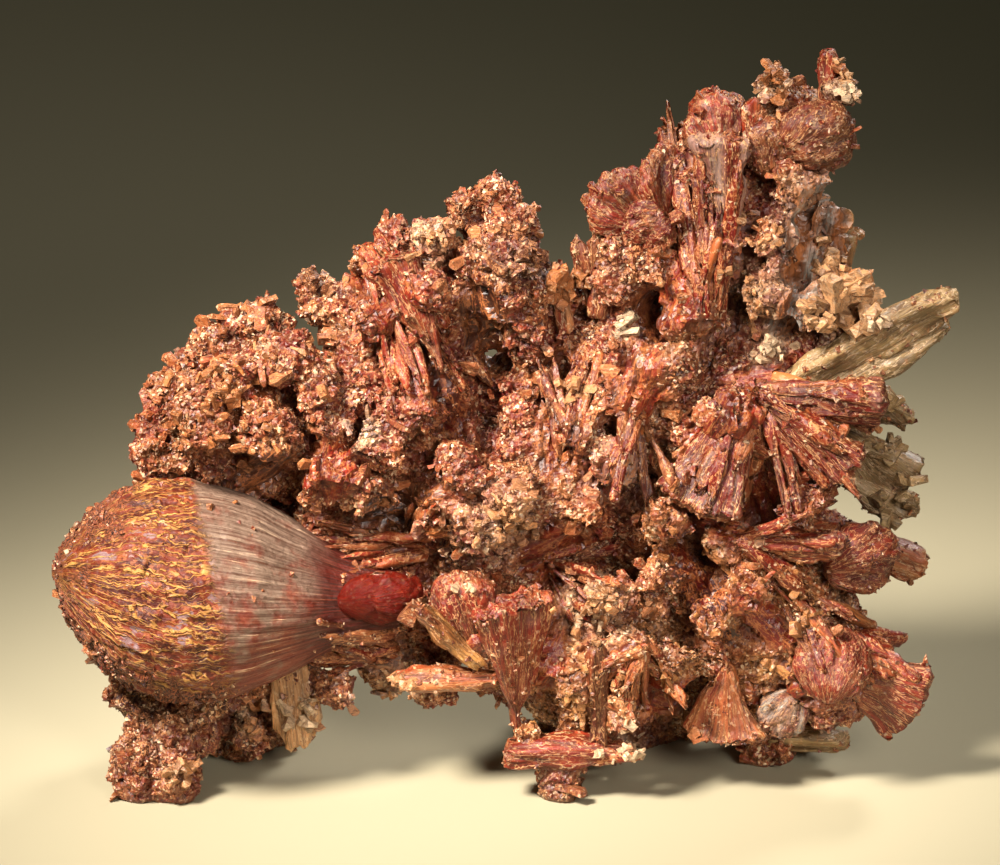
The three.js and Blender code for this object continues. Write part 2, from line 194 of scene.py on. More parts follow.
# where a colour gathers on the face: colour, across, up, reach, strength
colourZones = [
    ("deepRed", -20.6, 38.8, 4.6, 0.9),
    ("brick", -9, 56, 8, 0.75),
    ("brick", -13, 46, 6, 0.6),
    ("brick", -4, 47, 6, 0.5),
    ("deepRed", 14.6, 72.6, 5.5, 1),
    ("deepRed", 20.2, 76, 5, 1),
    ("deepRed", 27, 81, 5, 0.9),
    ("brick", 26, 71, 6, 0.9),
    ("brick", 39.6, 79.6, 5, 0.8),
    ("deepRed", 4, 4, 6, 0.8),
    ("deepRed", 45, 28, 6.5, 1),
    ("deepRed", 41, 14.5, 6.5, 0.8),
    ("deepRed", 49, 11.5, 7, 0.8),
    ("brick", 37, 43, 9, 0.8),
    ("brick", 28, 40, 7, 0.75),
    ("deepRed", 28, 45, 4, 0.7),
    ("deepRed", -15, 23, 5.5, 1),
    ("deepRed", -4.4, 22, 5, 1),
    ("brick", 27.6, 9, 5, 0.8),
    ("brown", -22, 16, 6, 0.9),
    ("brown", -41, 5, 7, 0.55),
    ("brown", 0.6, 64.8, 4.4, 0.7),
    ("brown", 11.5, 65, 4, 0.6),
    ("brown", 7, 1, 4, 0.7),
    ("brown", -22.6, 62.6, 2.4, 0.9),
    ("dark", -46, 9.6, 3.6, 0.8),
    ("dark", -35, 8, 2.6, 0.9),
    ("dark", -6.4, 28.4, 2, 0.9),
    ("dark", -1.4, 44, 2.2, 0.8),
    ("gold", 7, 9, 6, 0.7),
    ("gold", 34, 12, 3.4, 0.9),
    ("gold", 20, 13, 7, 0.75),
    ("gold", 8, 18, 5, 0.6),
    ("gold", 24, 30, 6, 0.35),
    ("gold", 38, 24, 5, 0.6),
    ("peach", 35, 17, 4, 0.6),
    ("deepRed", 36, 50, 7, 0.8),
    ("deepRed", 30, 49, 5, 0.7),
    ("gold", 44, 64, 4, 0.6),
    ("cream", 41.4, 85.2, 2.4, 1),
    ("cream", 33.5, 86.2, 2.8, 0.6),
    ("cream", 29.4, 61.8, 4.6, 0.5),
    ("cream", 33.6, 53.6, 2.6, 1),
    ("cream", 42.6, 60, 5, 0.75),
    ("cream", -25.8, 7.6, 3.4, 1),
    ("cream", -31.9, 6.2, 1.8, 0.8),
    ("cream", -13.6, 11.4, 3.6, 0.8),
    ("cream", 0, 32, 4.6, 0.55),
    ("cream", 11.4, 21.4, 4, 0.8),
    ("cream", -8.8, 67, 2.6, 0.7),
    ("cream", -16.8, 43.8, 1.5, 0.9),
    ("cream", 16, 3.2, 2.6, 0.7),
    ("cream", 38, 7.6, 2, 0.6),
    ("cream", 49, 13, 3, 0.3),
    ("lilac", 15.5, 38.4, 3.6, 0.7),
    ("lilac", -16.9, 7.6, 3, 0.7),
    ("lilac", -10, 33, 3, 0.4),
    ("blueGrey", 16.2, 43.6, 3, 0.6),
    ("blueGrey", 30.6, 31.6, 3.6, 0.6),
    ("blueGrey", 37, 62, 4.6, 0.55),
    ("blueGrey", 35.6, 7.6, 3, 0.7),
    ("blueGrey", 4, 64.6, 2.6, 0.6),
    ("olive", 47, 39, 5.5, 0.8),
    ("olive", 50, 55, 7, 0.8),
    ("blueGrey", 40, 70, 6, 0.8),
    ("cream", 44, 67, 3.4, 0.8),
    ("peach", 14, 12, 5, 0.6),
    ("peach", 21, 7, 4.4, 0.6),
    ("gold", 30, 22, 4.4, 0.7),
    ("peach", 44, 20, 3.6, 0.6),
    ("peach", 2, 18, 4, 0.5),
]


# the druse's colour at each point, before the fine speckle that the finish adds
def zoneColours(points, seed):
    seen = onFace(points)
    drift = softNoise(points, 7, seed) * 0.5 + softNoise(points, 2.6, seed + 1) * 0.5
    share = clamp(0.5 + 0.9 * drift)[:, None]
    colours = palette["brick"] * (1 - share) + palette["tan"] * share
    warm = clamp(softNoise(points, 4, seed + 5) * 1.4 - 0.3)[:, None]
    colours = colours * (1 - warm) + palette["peach"] * warm
    wander = softNoise(points, 3, seed + 2) * 1.3 + softNoise(points, 1.1, seed + 3) * 0.8
    for name, across, up, reach, strength in colourZones:
        away = np.hypot(seen[:, 0] - across, seen[:, 1] - up) + wander
        weight = (strength * clamp(1.35 - away / reach))[:, None]
        colours = colours * (1 - weight) + palette[name] * weight
    return colours


# meshes

# a mesh of corner lists that all have as many sides; attributes go on its points
def meshPiece(name, points, corners, floats, vectors, finish, smooth=False):
    mesh = bpy.data.meshes.new(name)
    count, sides = corners.shape
    inside = np.clip(points, boxLow, boxHigh)
    mesh.vertices.add(len(inside))
    mesh.vertices.foreach_set("co", (inside * mm).astype(np.float32).ravel())
    mesh.loops.add(count * sides)
    mesh.loops.foreach_set("vertex_index", corners.astype(np.int32).ravel())
    mesh.polygons.add(count)
    mesh.polygons.foreach_set("loop_start", np.arange(0, count * sides, sides, dtype=np.int32))
    mesh.polygons.foreach_set("use_smooth", np.full(count, smooth))
    mesh.update(calc_edges=True)
    for kind, field, layers in (("FLOAT", "value", floats), ("FLOAT_VECTOR", "vector", vectors)):
        for key, values in layers.items():
            layer = mesh.attributes.new(key, kind, "POINT")
            layer.data.foreach_set(field, np.asarray(values, np.float32).ravel())
    mesh.materials.append(finish)
    piece = bpy.data.objects.new(name, mesh)
    bpy.context.scene.collection.objects.link(piece)
    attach(piece, "root")
    print(f"{name}: {len(inside)} points, {count} faces")
    return piece


tablet = {
    "stations": (0.0, 0.45, 0.86, 1.0),  # places along it, with its width and depth there
    "widths": (0.75, 0.8, 1.0, 0.34),
    "depths": (0.75, 0.85, 1.0, 0.5),
    "points": 16,
    "sunk": 0.6,  # of its size
    "uneven": 0.035,
}


# many tablets at once, each pointed at its tip: 16 points and 14 four-sided faces a tablet
def tabletMesh(roots, alongs, sides, fronts, lengths, halfWidths, halfDepths, bend):
    square = np.array([[-1, -1], [1, -1], [1, 1], [-1, 1]])
    points = []
    for station, wide, deep in zip(tablet["stations"], tablet["widths"], tablet["depths"]):
        bow = bend * station * station
        for y, z in square:
            points.append(
                roots
                + alongs * (lengths * station)[:, None]
                + sides * (halfWidths * wide * y)[:, None]
                + fronts * (halfDepths * deep * z + bow)[:, None]
            )
    points = np.stack(points, axis=1)  # tablet, corner, xyz
    ring = []
    for level in range(3):
        for k in range(4):
            a, b = level * 4 + k, level * 4 + (k + 1) % 4
            ring.append([a, b, b + 4, a + 4])
    ring = np.array(ring + [[3, 2, 1, 0], [12, 13, 14, 15]])
    starts = tablet["points"] * np.arange(len(roots))
    corners = (ring[None] + starts[:, None, None]).reshape(-1, 4)
    handed = np.einsum("ij,ij->i", np.cross(alongs, sides), fronts)
    flipped = np.repeat(handed < 0, len(ring))
    corners[flipped] = corners[flipped][:, ::-1]
    share = np.tile(np.repeat(tablet["stations"], len(square)), len(roots))
    return points.reshape(-1, 3), corners, share


# shader graphs

class Val:  # one output socket that can be added, multiplied and so on
    def __init__(self, graph, socket):
        self.graph = graph
        self.socket = socket

    def __add__(self, other):
        return self.graph.maths("ADD", self, other)

    def __sub__(self, other):
        return self.graph.maths("SUBTRACT", self, other)

    def __rsub__(self, other):
        return self.graph.maths("SUBTRACT", other, self)

    def __mul__(self, other):
        return self.graph.maths("MULTIPLY", self, other)

    __radd__ = __add__
    __rmul__ = __mul__


class Graph:
    def __init__(self, name):
        self.material = bpy.data.materials.new(name)
        self.material.use_nodes = True
        self.tree = self.material.node_tree
        self.tree.nodes.clear()

    # a node of that type: its settings, then a number, colour or link for each named or numbered input
    def node(self, kind, settings=None, inputs=None, output=0):
        made = self.tree.nodes.new(kind)
        for key, value in (settings or {}).items():
            setattr(made, key, value)
        for key, value in (inputs or {}).items():
            if isinstance(value, Val):
                self.tree.links.new(value.socket, made.inputs[key])
            else:
                made.inputs[key].default_value = value
        return Val(self, made.outputs[output]) if made.outputs else None

    def maths(self, operation, a, b=0.0):
        return self.node("ShaderNodeMath", {"operation": operation}, {0: a, 1: b})

    def attribute(self, name, output="Fac"):
        return self.node("ShaderNodeAttribute", {"attribute_name": name}, output=output)

    def step(self, value, low, high):
        ends = {"Value": value, "From Min": low, "From Max": high}
        return self.node("ShaderNodeMapRange", {"interpolation_type": "SMOOTHSTEP"}, ends)

    # a thin line where the value passes its middle
    def line(self, value, middle, outer, inner):
        return self.step(self.maths("ABSOLUTE", value - middle), outer, inner)

    def mix(self, share, a, b):
        settings = {"data_type": "RGBA", "clamp_factor": True}
        return self.node("ShaderNodeMix", settings, {0: share, 6: a, 7: b}, output=2)

    # coats of colour over a base, each as strong as its mask says
    def coats(self, colour, coats):
        for mask, coat in coats:
            colour = self.mix(mask, colour, coat)
        return colour

    def vector(self, operation, a, b=(0, 0, 0)):
        return self.node("ShaderNodeVectorMath", {"operation": operation}, {0: a, 1: b})

    def noise(self, where, scale, detail=2.0, rough=0.5):
        inputs = {"Vector": where, "Scale": scale, "Detail": detail, "Roughness": rough}
        return self.node("ShaderNodeTexNoise", None, inputs)

    # noise drawn out along the crystal
    def streaks(self, grain, squeeze, scale, detail, rough):
        return self.noise(self.vector("MULTIPLY", grain, squeeze), scale, detail, rough)

    # a random colour in each tiny cell, and another one that doesn't follow from it
    def cells(self, where, scale):
        inputs = {"Vector": where, "Scale": scale}
        first = self.node("ShaderNodeTexVoronoi", {"feature": "F1"}, inputs, output="Color")
        return first, self.vector("FRACTION", self.vector("MULTIPLY", first, (7.3, 9.1, 5.7)))

    # the surface normal, nudged another way in each cell, so that small faces catch the light one by one
    def glitter(self, cells, strength):
        nudge = self.vector("SUBTRACT", cells, (0.5, 0.5, 0.5))
        scaled = self.node("ShaderNodeVectorMath", {"operation": "SCALE"}, {0: nudge, "Scale": strength})
        plain = self.node("ShaderNodeNewGeometry", output="Normal")
        return self.vector("NORMALIZE", self.vector("ADD", plain, scaled))

    def finish(self, inputs):
        surface = self.node("ShaderNodeBsdfPrincipled", None, inputs)
        self.node("ShaderNodeOutputMaterial", None, {"Surface": surface})
        return self.material

    # a crystal's surface: relief over the given normal and a thin glossy coat
    def crystal(self, colour, roughness, height, normal, look, more=None):
        strength, distance = look["relief"]
        inputs = {"Strength": strength, "Distance": distance, "Height": height, "Normal": normal}
        return self.finish({
            "Base Color": colour,
            "Roughness": roughness,
            "Specular IOR Level": look["specular"],
            "Coat Weight": look["coat"],
            "Coat Roughness": 0.15,
            "Normal": self.node("ShaderNodeBump", None, inputs),
            **(more or {}),
        })


# a colour as a socket takes it, by its name in the palette or by its code
def ink(name, gain=1.0):
    colour = palette[name] if name in palette else paint(name)
    return (*(colour * gain), 1.0)


crustLook = {
    "roughness": 0.4,
    "specular": 0.5,
    "coat": 0.06,
    "relief": (0.5, 0.0002),
    "speckleScale": 1250,
    "patchScale": 260,
    "cellScale": 3000,
    "glitter": 0.8,
    "stoneGlitter": 0.35,
    # the strength of the pale squiggles, partly pale druse and partly painted glints
    "salt": 0.75,
}


# the crust and its grains: speckled where it is druse, with painted glints among the speckle, striped
# where a crystal shows through, and painted shade in its gaps
def crustFinish(name, striped):
    g = Graph(name)
    where = g.node("ShaderNodeTexCoord", output="Object")
    base = g.attribute("paint", "Color")
    cells, other = g.cells(where, crustLook["cellScale"])
    speckle = g.noise(where, crustLook["speckleScale"], 3.0, 0.65)
    squiggle = g.line(speckle, 0.54, 0.05, 0.012)
    patch = g.noise(where, crustLook["patchScale"], 3.0, 0.6)
    pale = g.step(patch, 0.4, 0.58)  # the other lumps are redder and have fewer bright grains on them
    colour = g.coats(base, [
        (g.step(speckle, 0.5, 0.32) * 0.6, ink("deepRed", 0.7)),
        (g.step(other, 0.4, 0.34) * 0.6, ink("dark")),
        ((1 - pale) * 0.55, ink("deepRed")),
        # pale squiggles and cream specks: partly pale druse grains, partly painted glints
        (squiggle * (0.35 + pale * 0.65) * crustLook["salt"], ink("peach", 1.1)),
        (g.step(other, 0.71, 0.74) * (0.3 + pale * 0.7), ink("cream")),
    ])
    glitter = crustLook["glitter"]
    rough = crustLook["roughness"] + speckle * 0.2
    height = speckle
    if striped:
        bare = g.attribute("bare")
        grain = g.attribute("grain", "Vector")
        lines = g.streaks(grain, (0.16, 2.2, 1.1), 1.2, 5.0, 0.7)
        veins = g.streaks(grain, (0.3, 1.5, 0.9), 0.9, 3.0, 0.55)
        dust = g.streaks(grain, (0.5, 0.8, 0.8), 0.8, 4.0, 0.7)
        stone = g.coats(base, [
            (g.step(lines, 0.52, 0.38) * 0.75, ink("dark", 1.1)),
            (g.line(veins, 0.5, 0.03, 0.01) * 0.7, ink("tan")),
            (g.step(dust + squiggle * 0.16, 0.58, 0.68) * 0.7, ink("tan")),
        ])
        colour = g.mix(bare, colour, stone)
        glitter = crustLook["stoneGlitter"] + (1 - bare) * (glitter - crustLook["stoneGlitter"])
        rough = rough - bare * 0.1
        height = speckle * (1 - bare * 0.7) + lines * bare
    paintedShade = 1 - g.attribute("unshaded")  # painted shade: the attribute is 0 in the gaps, which are painted dark, and 1 on what stands out
    colour = g.mix(paintedShade, colour, ink("dark", 0.5))
    return g.crystal(colour, rough, height, g.glitter(cells, glitter), crustLook)


bladeLook = {
    "roughness": 0.27,
    "coat": 0.05,
    "relief": (0.7, 0.0003),
    "lines": 1.2,
    "speckleScale": 1300,
    "cellScale": 3000,
    "salt": 0.65,
}


# fine lines along the crystal, thin veins of another colour, a dusting of druse with painted glints
# among it, and painted shade in its grooves
def bladeFinish(name, veinColour, see, striped, dusty, shine=0.35):
    g = Graph(name)
    grain = g.attribute("grain", "Vector")
    where = g.node("ShaderNodeTexCoord", output="Object")
    cells, other = g.cells(where, bladeLook["cellScale"])
    lines = g.streaks(grain, (0.14, 2.2, 1.1), bladeLook["lines"], 5.0, 0.7)
    veins = g.streaks(grain, (0.3, 1.5, 0.9), 1.0, 3.0, 0.55)
    spots = g.streaks(grain, (0.7, 1.0, 1.0), 0.9, 4.0, 0.7)
    vein = g.line(veins, 0.5, 0.025, 0.008)
    squiggle = g.line(g.noise(where, bladeLook["speckleScale"], 3.0, 0.65), 0.54, 0.045, 0.012)
    dust = g.step(spots + squiggle * 0.14, 0.56, 0.68) * dusty
    colour = g.coats(g.attribute("paint", "Color"), [
        (g.step(lines, 0.54, 0.4) * striped, ink("dark", 1.1)),
        (vein * striped, ink(veinColour)),
        (dust * bladeLook["salt"], ink("tan")),
        # pale squiggles and cream specks: partly pale druse grains, partly painted glints
        (squiggle * (dust + 0.25) * dusty, ink("peach")),
        (g.step(other, 0.76, 0.79) * dusty, ink("cream")),
        # painted shade in the grooves, and a random tone on the small crystals
        ((1 - g.attribute("toneAndGrooveShade")) * 0.7, ink("dark", 0.8)),
    ])
    look = {**bladeLook, "specular": shine}
    if dusty < 0.1:
        look["coat"] = 0.0
    height = lines + vein * 0.6 + spots * 0.5
    more = {"IOR": 1.5, "Transmission Weight": see}
    rough = bladeLook["roughness"] + spots * 0.25
    return g.crystal(colour, rough, height, g.glitter(cells, 0.2 + dust * 0.5), look, more)


sheafLook = {
    "roughness": 0.36,
    "specular": 0.35,
    "coat": 0.05,
    "relief": (0.8, 0.0004),
    "cellScale": 2600,
    "glitter": 0.3,
    "capDark": "#431309",
    "capRed": "#732a11",
    "capGrey": "#80686a",
    "ridge": "#b78343",
    "ridgeWidth": 0.06,
    "greyDark": "#5a4134",
    "greyPale": "#8b7260",
    "redDark": "#5c170a",
    "redPale": "#82402a",
    "stem": "#5f1c10",
    "crumb": "#9a5533",
}


# the great sheaf's skin: golden ridges over its domed end, pale glassy sides, then a dark striped stem
def sheafFinish():
    g = Graph("sheaf_skin")
    look = sheafLook
    grain = g.attribute("grain", "Vector")  # along and around, in mm
    share, crumbly, high = [g.attribute(key) for key in ("share", "crumbly", "high")]
    where = g.node("ShaderNodeTexCoord", output="Object")
    cells, other = g.cells(where, look["cellScale"])
    wander = g.streaks(grain, (0.3, 0.4, 0), 0.6, 2.0, 0.5)
    wobble = g.streaks(grain, (0.9, 0.3, 0), 1.0, 2.0, 0.5)
    fine = g.streaks(grain, (0.1, 2.6, 0), 0.8, 5.0, 0.75)
    broken = g.streaks(grain, (0.5, 0.7, 0), 1.0, 3.0, 0.6)
    patches = g.streaks(grain, (0.22, 0.3, 0), 1.0, 4.0, 0.6)
    smear = g.streaks(grain, (0.3, 0.12, 0), 1.0, 3.0, 0.55)
    blotch = g.streaks(grain, (0.5, 0.45, 0), 0.6, 4.0, 0.65)
    speckle = g.noise(grain, 3.2, 4.0, 0.7)
    bend = g.node("ShaderNodeCombineXYZ", None, {0: 0.0, 1: wander * 2.4 + wobble * 1.2, 2: 0.0})
    bent = g.vector("ADD", grain, bend)

    def net(squeeze):
        inputs = {"Vector": g.vector("MULTIPLY", bent, squeeze), "Scale": 1.0, "Randomness": 0.9}
        border = g.node("ShaderNodeTexVoronoi", {"feature": "DISTANCE_TO_EDGE"}, inputs)
        return g.step(border, look["ridgeWidth"], look["ridgeWidth"] * 0.3)

    ridge = net((0.12, 0.84, 0)) * g.step(broken, 0.42, 0.5)
    fineRidge = net((0.16, 1.5, 0)) * g.step(broken, 0.56, 0.48)
    lines = g.maths("MAXIMUM", ridge, fineRidge * 0.7)
    cap = g.coats(ink(look["capDark"]), [
        (g.step(patches, 0.4, 0.6), ink(look["capRed"])),
        (g.step(fine, 0.5, 0.32) * 0.6, ink("dark")),
        (g.step(other, 0.58, 0.64) * 0.35, ink("tan")),
        (g.step(patches, 0.6, 0.64) * 0.8, ink(look["capGrey"])),
        (lines * 0.95, ink(look["ridge"])),
    ])
    grey = g.mix(g.step(fine, 0.4, 0.6), ink(look["greyDark"]), ink(look["greyPale"]))
    side = g.coats(ink(look["redDark"]), [
        (g.step(fine, 0.42, 0.6), ink(look["redPale"])),
        (g.step(high * 0.8 + blotch * 2.0, 1.1, 1.75), grey),
        (g.step(fine, 0.6, 0.66) * 0.75, ink("cream")),
        (g.step(fine, 0.42, 0.36) * 0.6, ink("brown")),
    ])
    stem = g.coats(ink("dark", 0.9), [
        (g.step(fine, 0.38, 0.6), ink(look["stem"])),
        (g.step(fine, 0.6, 0.68) * 0.6, ink("tan")),
    ])
    crumb = g.coats(ink("dark", 0.8), [
        (g.step(speckle, 0.42, 0.6), ink(look["crumb"])),
        (g.step(speckle, 0.62, 0.72), ink("gold", 0.9)),
    ])
    # the cap ends further on at the top
    slant = share - (high - 0.5) * 0.2 + (blotch - 0.5) * 0.1 + (fine - 0.5) * 0.06
    capShare = g.step(slant, 0.515, 0.56)
    colour = g.coats(stem, [
        (g.step(share + smear * 0.14, 0.28, 0.42), side),
        (capShare, cap),
        (g.step(crumbly + speckle * 0.5, 0.62, 0.9), crumb),
    ])
    height = lines * capShare + fine * 0.6 + speckle * crumbly
    rough = look["roughness"] + fine * 0.2 + crumbly * 0.1
    return g.crystal(colour, rough, height, g.glitter(cells, look["glitter"]), look)


# what each finish shows: vein colour, see-through, stripes, dust with its painted glints, and shine
grainMaterial = crustFinish("druse", False)
bodyMaterial = crustFinish("crust", True)
redMaterial = bladeFinish("red_crystal", "peach", 0.0, 0.66, 0.5)
glassyMaterial = bladeFinish("glassy_red_crystal", "honey", 0.0, 0.72, 0.3, 0.42)
paleMaterial = bladeFinish("pale_crystal", "cream", 0.05, 0.6, 0.3)
smoothMaterial = bladeFinish("smooth_red_crystal", "brick", 0.0, 0.5, 0.06, 0.12)
sheafMaterial = sheafFinish()
print("finishes ready")


# skins made of rings

# a closed skin from rings of points, with a pole at each end and its faces outwards
def ringSkin(rings, firstPole, lastPole):
    count, sides, _ = rings.shape
    points = np.concatenate([rings.reshape(-1, 3), [firstPole, lastPole]])
    index = np.arange(count * sides).reshape(count, sides)
    nextSide = np.roll(index, -1, axis=1)
    quads = np.stack([index[:-1], index[1:], nextSide[1:], nextSide[:-1]], axis=-1).reshape(-1, 4)
    low, high = count * sides, count * sides + 1
    first = np.stack([np.full(sides, low), index[0], nextSide[0]], axis=1)
    last = np.stack([np.full(sides, high), nextSide[-1], index[-1]], axis=1)
    triangles = np.concatenate([quads[:, [0, 1, 2]], quads[:, [0, 2, 3]], first, last])
    a, b, c = [points[triangles[:, k]] - points[0] for k in range(3)]
    if np.sum(a * np.cross(b, c)) < 0:
        triangles = triangles[:, ::-1]
    return points, triangles


def pointNormals(points, triangles):
    a, b, c = [points[triangles[:, k]] for k in range(3)]
    across = np.cross(b - a, c - a)
    total = np.zeros_like(points)
    for k in range(3):
        np.add.at(total, triangles[:, k], across)
    return unit(total)


# the great sheaf

greatSheaf = {
    "waist": (-12.5, 22.2, -3),
    "tip": (-55.8, 26.2, -9),
    "sag": 1.3,
    "shares": [0, 0.1, 0.2, 0.32, 0.45, 0.54, 0.64, 0.74, 0.82, 0.9, 0.96, 1.0],
    "radii": [4.4, 5.4, 7.0, 9.9, 12.7, 13.5, 13.7, 13.0, 11.6, 8.4, 4.9, 0.0],
    "rings": 210,
    "sides": 200,
    "crowding": 1.4,  # its rings crowd towards the blunt end, where the surface turns over
    "softened": 9,  # rings over which its outline is rounded off
    "around": 13.4,  # mm of skin to a radian, for the patterns on it
    "end": 0.3,  # mm between its last ring and its tip
    "seed": 5,
}


def sheafFrame():
    start = place(*greatSheaf["waist"])
    direction = place(*greatSheaf["tip"]) - start
    return start, growthAxes(direction), float(np.linalg.norm(direction))


def buildSheaf():
    start, axes, length = sheafFrame()
    rings, sides, seed, around = [greatSheaf[key] for key in ("rings", "sides", "seed", "around")]
    share = 1 - (1 - np.linspace(0, 1, rings)) ** greatSheaf["crowding"]
    radius = np.interp(share, greatSheaf["shares"], greatSheaf["radii"])
    kernel = np.hanning(greatSheaf["softened"])
    edge = greatSheaf["softened"] // 2
    padded = np.concatenate([np.full(edge, radius[0]), radius, np.zeros(edge)])
    radius = np.convolve(padded, kernel / kernel.sum(), "valid")
    radius[-1] = greatSheaf["end"]
    angle = np.linspace(-math.pi, math.pi, sides, endpoint=False)
    share, angle = [grid.ravel() for grid in np.meshgrid(share, angle, indexing="ij")]
    radius = np.repeat(radius, sides)
    along, side, front = share * length, np.cos(angle), np.sin(angle)
    shell = np.stack([along, side * around, front * around], axis=1)
    outer = np.stack([along, side * radius, front * radius], axis=1)
    upness = axes[2, 1] * side + axes[2, 2] * front
    backness = axes[1, 1] * side + axes[1, 2] * front
    capShare = clamp((share - 0.08 * upness - 0.51) / 0.05)
    # the underside, the back and the very end are crumbly druse
    drift = softNoise(outer, 5, seed + 7) * 0.25 + softNoise(outer, 1.6, seed + 8) * 0.2
    below = clamp((-upness - 0.45 + drift) * 3) * clamp((share - 0.42) * 8)
    end = clamp((share - 0.9 + drift * 0.3) * 9)
    rim = clamp((share - 0.72 + drift * 0.3) * 6) * clamp((upness - 0.62 + drift) * 3)
    back = clamp((backness - 0.3 + drift) * 2) * 0.7
    crumbly = clamp(np.maximum.reduce([below, end, rim, back * capShare]))
    scales, _ = facets(shell * np.array([0.2, 1, 1]), 1.2, seed, 0.2, 0.3)
    coarse, _ = facets(shell * np.array([0.4, 1, 1]), 3.4, seed + 4, 0.25, 0.1)
    ripple = softNoise(shell * np.array([0.06, 1, 1]), 0.8, seed + 2) * 0.13
    swell = softNoise(shell * np.array([0.5, 1, 1]), 6, seed + 3) * 0.5
    grains, _ = facets(outer, 0.8, seed + 9, 0.2, 0.3)
    smooth = capShare * (scales + coarse) + (1 - capShare) * (ripple + scales * 0.3)
    rough = knobs(outer, 2.2, seed + 6) * 1.3 - 0.75 + grains
    move = smooth * (1 - crumbly) + rough * crumbly + swell - 0.15
    grown = np.maximum(radius + move * clamp(radius / 4), 0.02)
    sag = greatSheaf["sag"] * np.sin(math.pi * share)
    local = np.stack([along, grown * side - sag, grown * front], axis=1)
    local[:, 0] += crumbly * clamp(1 - radius / 11) * rough * 0.8
    skin = (start + local @ axes.T).reshape(rings, sides, 3)
    points, triangles = ringSkin(skin, start, start + axes[:, 0] * (length - greatSheaf["end"]))
    flat = np.stack([along, angle * around, np.zeros(len(share))], axis=1)
    floats = {
        "share": np.append(share, [0, 1]),
        "crumbly": np.append(crumbly, [0, 1]),
        "high": np.append(0.5 + 0.5 * upness, [0.5, 0.5]),
    }
    vectors = {"grain": np.concatenate([flat, [[0, 0, 0], [length, 0, 0]]])}
    meshPiece("great_sheaf", points, triangles, floats, vectors, sheafMaterial, True)
    return {"points": points, "corners": triangles, "weight": np.append(crumbly * 0.45 + 0.01, [0, 0])}


# round heads, fans and blades: each is one skin with ridges that run the way it grew

def gather(parts):
    points, corners, floats, vectors = [], [], {}, {}
    start = 0
    for part in parts:
        points.append(part["points"])
        corners.append(part["corners"] + start)
        start += len(part["points"])
    for key in ("share", "toneAndGrooveShade"):
        floats[key] = np.concatenate([part[key] for part in parts])
    for key in ("grain", "paint"):
        vectors[key] = np.concatenate([part[key] for part in parts])
    return np.concatenate(points), np.concatenate(corners), floats, vectors


skins = {
    "ridge": 0.3,  # how far the ridges of a bundle stand out, mm
    "swell": 0.6,
    "lumps": 0.7,
    # how strong the painted sheen is
    "paintedSheen": 0.3,
    "grooveShadeKeeps": 0.36,  # painted shade in the grooves: how much of its colour a groove keeps
}


# moves a smooth skin into ridges, and gives it its colours, with painted sheen and painted shade in its
# grooves: grain is along, across and through in mm
def weatheredAndShaded(points, triangles, grain, share, colour, seed):
    normals = pointNormals(points, triangles)
    ridge = softNoise(grain * np.array([0.06, 1, 0.3]), 0.6, seed) * skins["ridge"] * 0.6
    plates, _ = facets(grain * np.array([0.14, 1, 0.5]), 1.3, seed + 1, skins["ridge"], 0.28)
    swell = softNoise(points, 3.4, seed + 2) * skins["swell"]
    lumps = knobs(points, 2.0, seed + 3) - 0.5 + softNoise(points, 1.0, seed + 4) * 0.2
    patchy = clamp(softNoise(points, 3, seed + 5) * 1.3 + (share > 0.9) * 0.3)
    move = (ridge + plates) * (1 - patchy * 0.8) + swell + lumps * skins["lumps"] * patchy
    moved = points + normals * (move - 0.1)[:, None]
    lane = 0.5 + 0.5 * softNoise(grain * np.array([0.05, 1, 0.4]), 0.9, seed + 6)
    lane = clamp(lane * 1.5 - 0.25)[:, None]
    if colour in ("olive", "honey"):
        colours = palette[colour] * (0.65 + 0.4 * lane)
    elif colour in ("peach", "tan"):
        colours = palette["brick"] * (1 - lane) + palette[colour] * lane
    else:
        colours = palette["deepRed"] * (1 - lane) + palette[colour] * lane
        # painted sheen: grey-lilac patches mixed into the red
        paintedSheen = clamp(softNoise(points, 3.6, seed + 7) * 2.4 - 1.2)[:, None] * skins["paintedSheen"]
        colours = colours * (1 - paintedSheen) + palette["lilac"] * paintedSheen
        dusted = (patchy * 0.5 * clamp(0.6 + softNoise(points, 1.2, seed + 8)))[:, None]
        colours = colours * (1 - dusted) + palette["tan"] * dusted
    # painted shade: low places in the ridges get lower values, which the finishes paint darker
    toneAndGrooveShade = skins["grooveShadeKeeps"] + (1 - skins["grooveShadeKeeps"]) * clamp(0.6 + move * 1.5)
    return {
        "points": moved, "corners": triangles, "share": share, "toneAndGrooveShade": toneAndGrooveShade,
        "grain": grain + np.array([0, seed * 7.3, 0]), "paint": colours, "patchy": patchy,
    }


# a weathered skin, with painted sheen and painted groove shade, over rings that are given in the
# crystal's own axes
def grownSkin(start, axes, length, sides, local, grain, share, colour, seed):
    rings = (start + local @ axes.T).reshape(-1, sides, 3)
    points, triangles = ringSkin(rings, start, start + axes[:, 0] * length)
    grain = np.concatenate([grain, [[0, 0, 0], [length, 0, 0]]])
    return weatheredAndShaded(points, triangles, grain, np.append(share, [0, 1]), colour, seed)


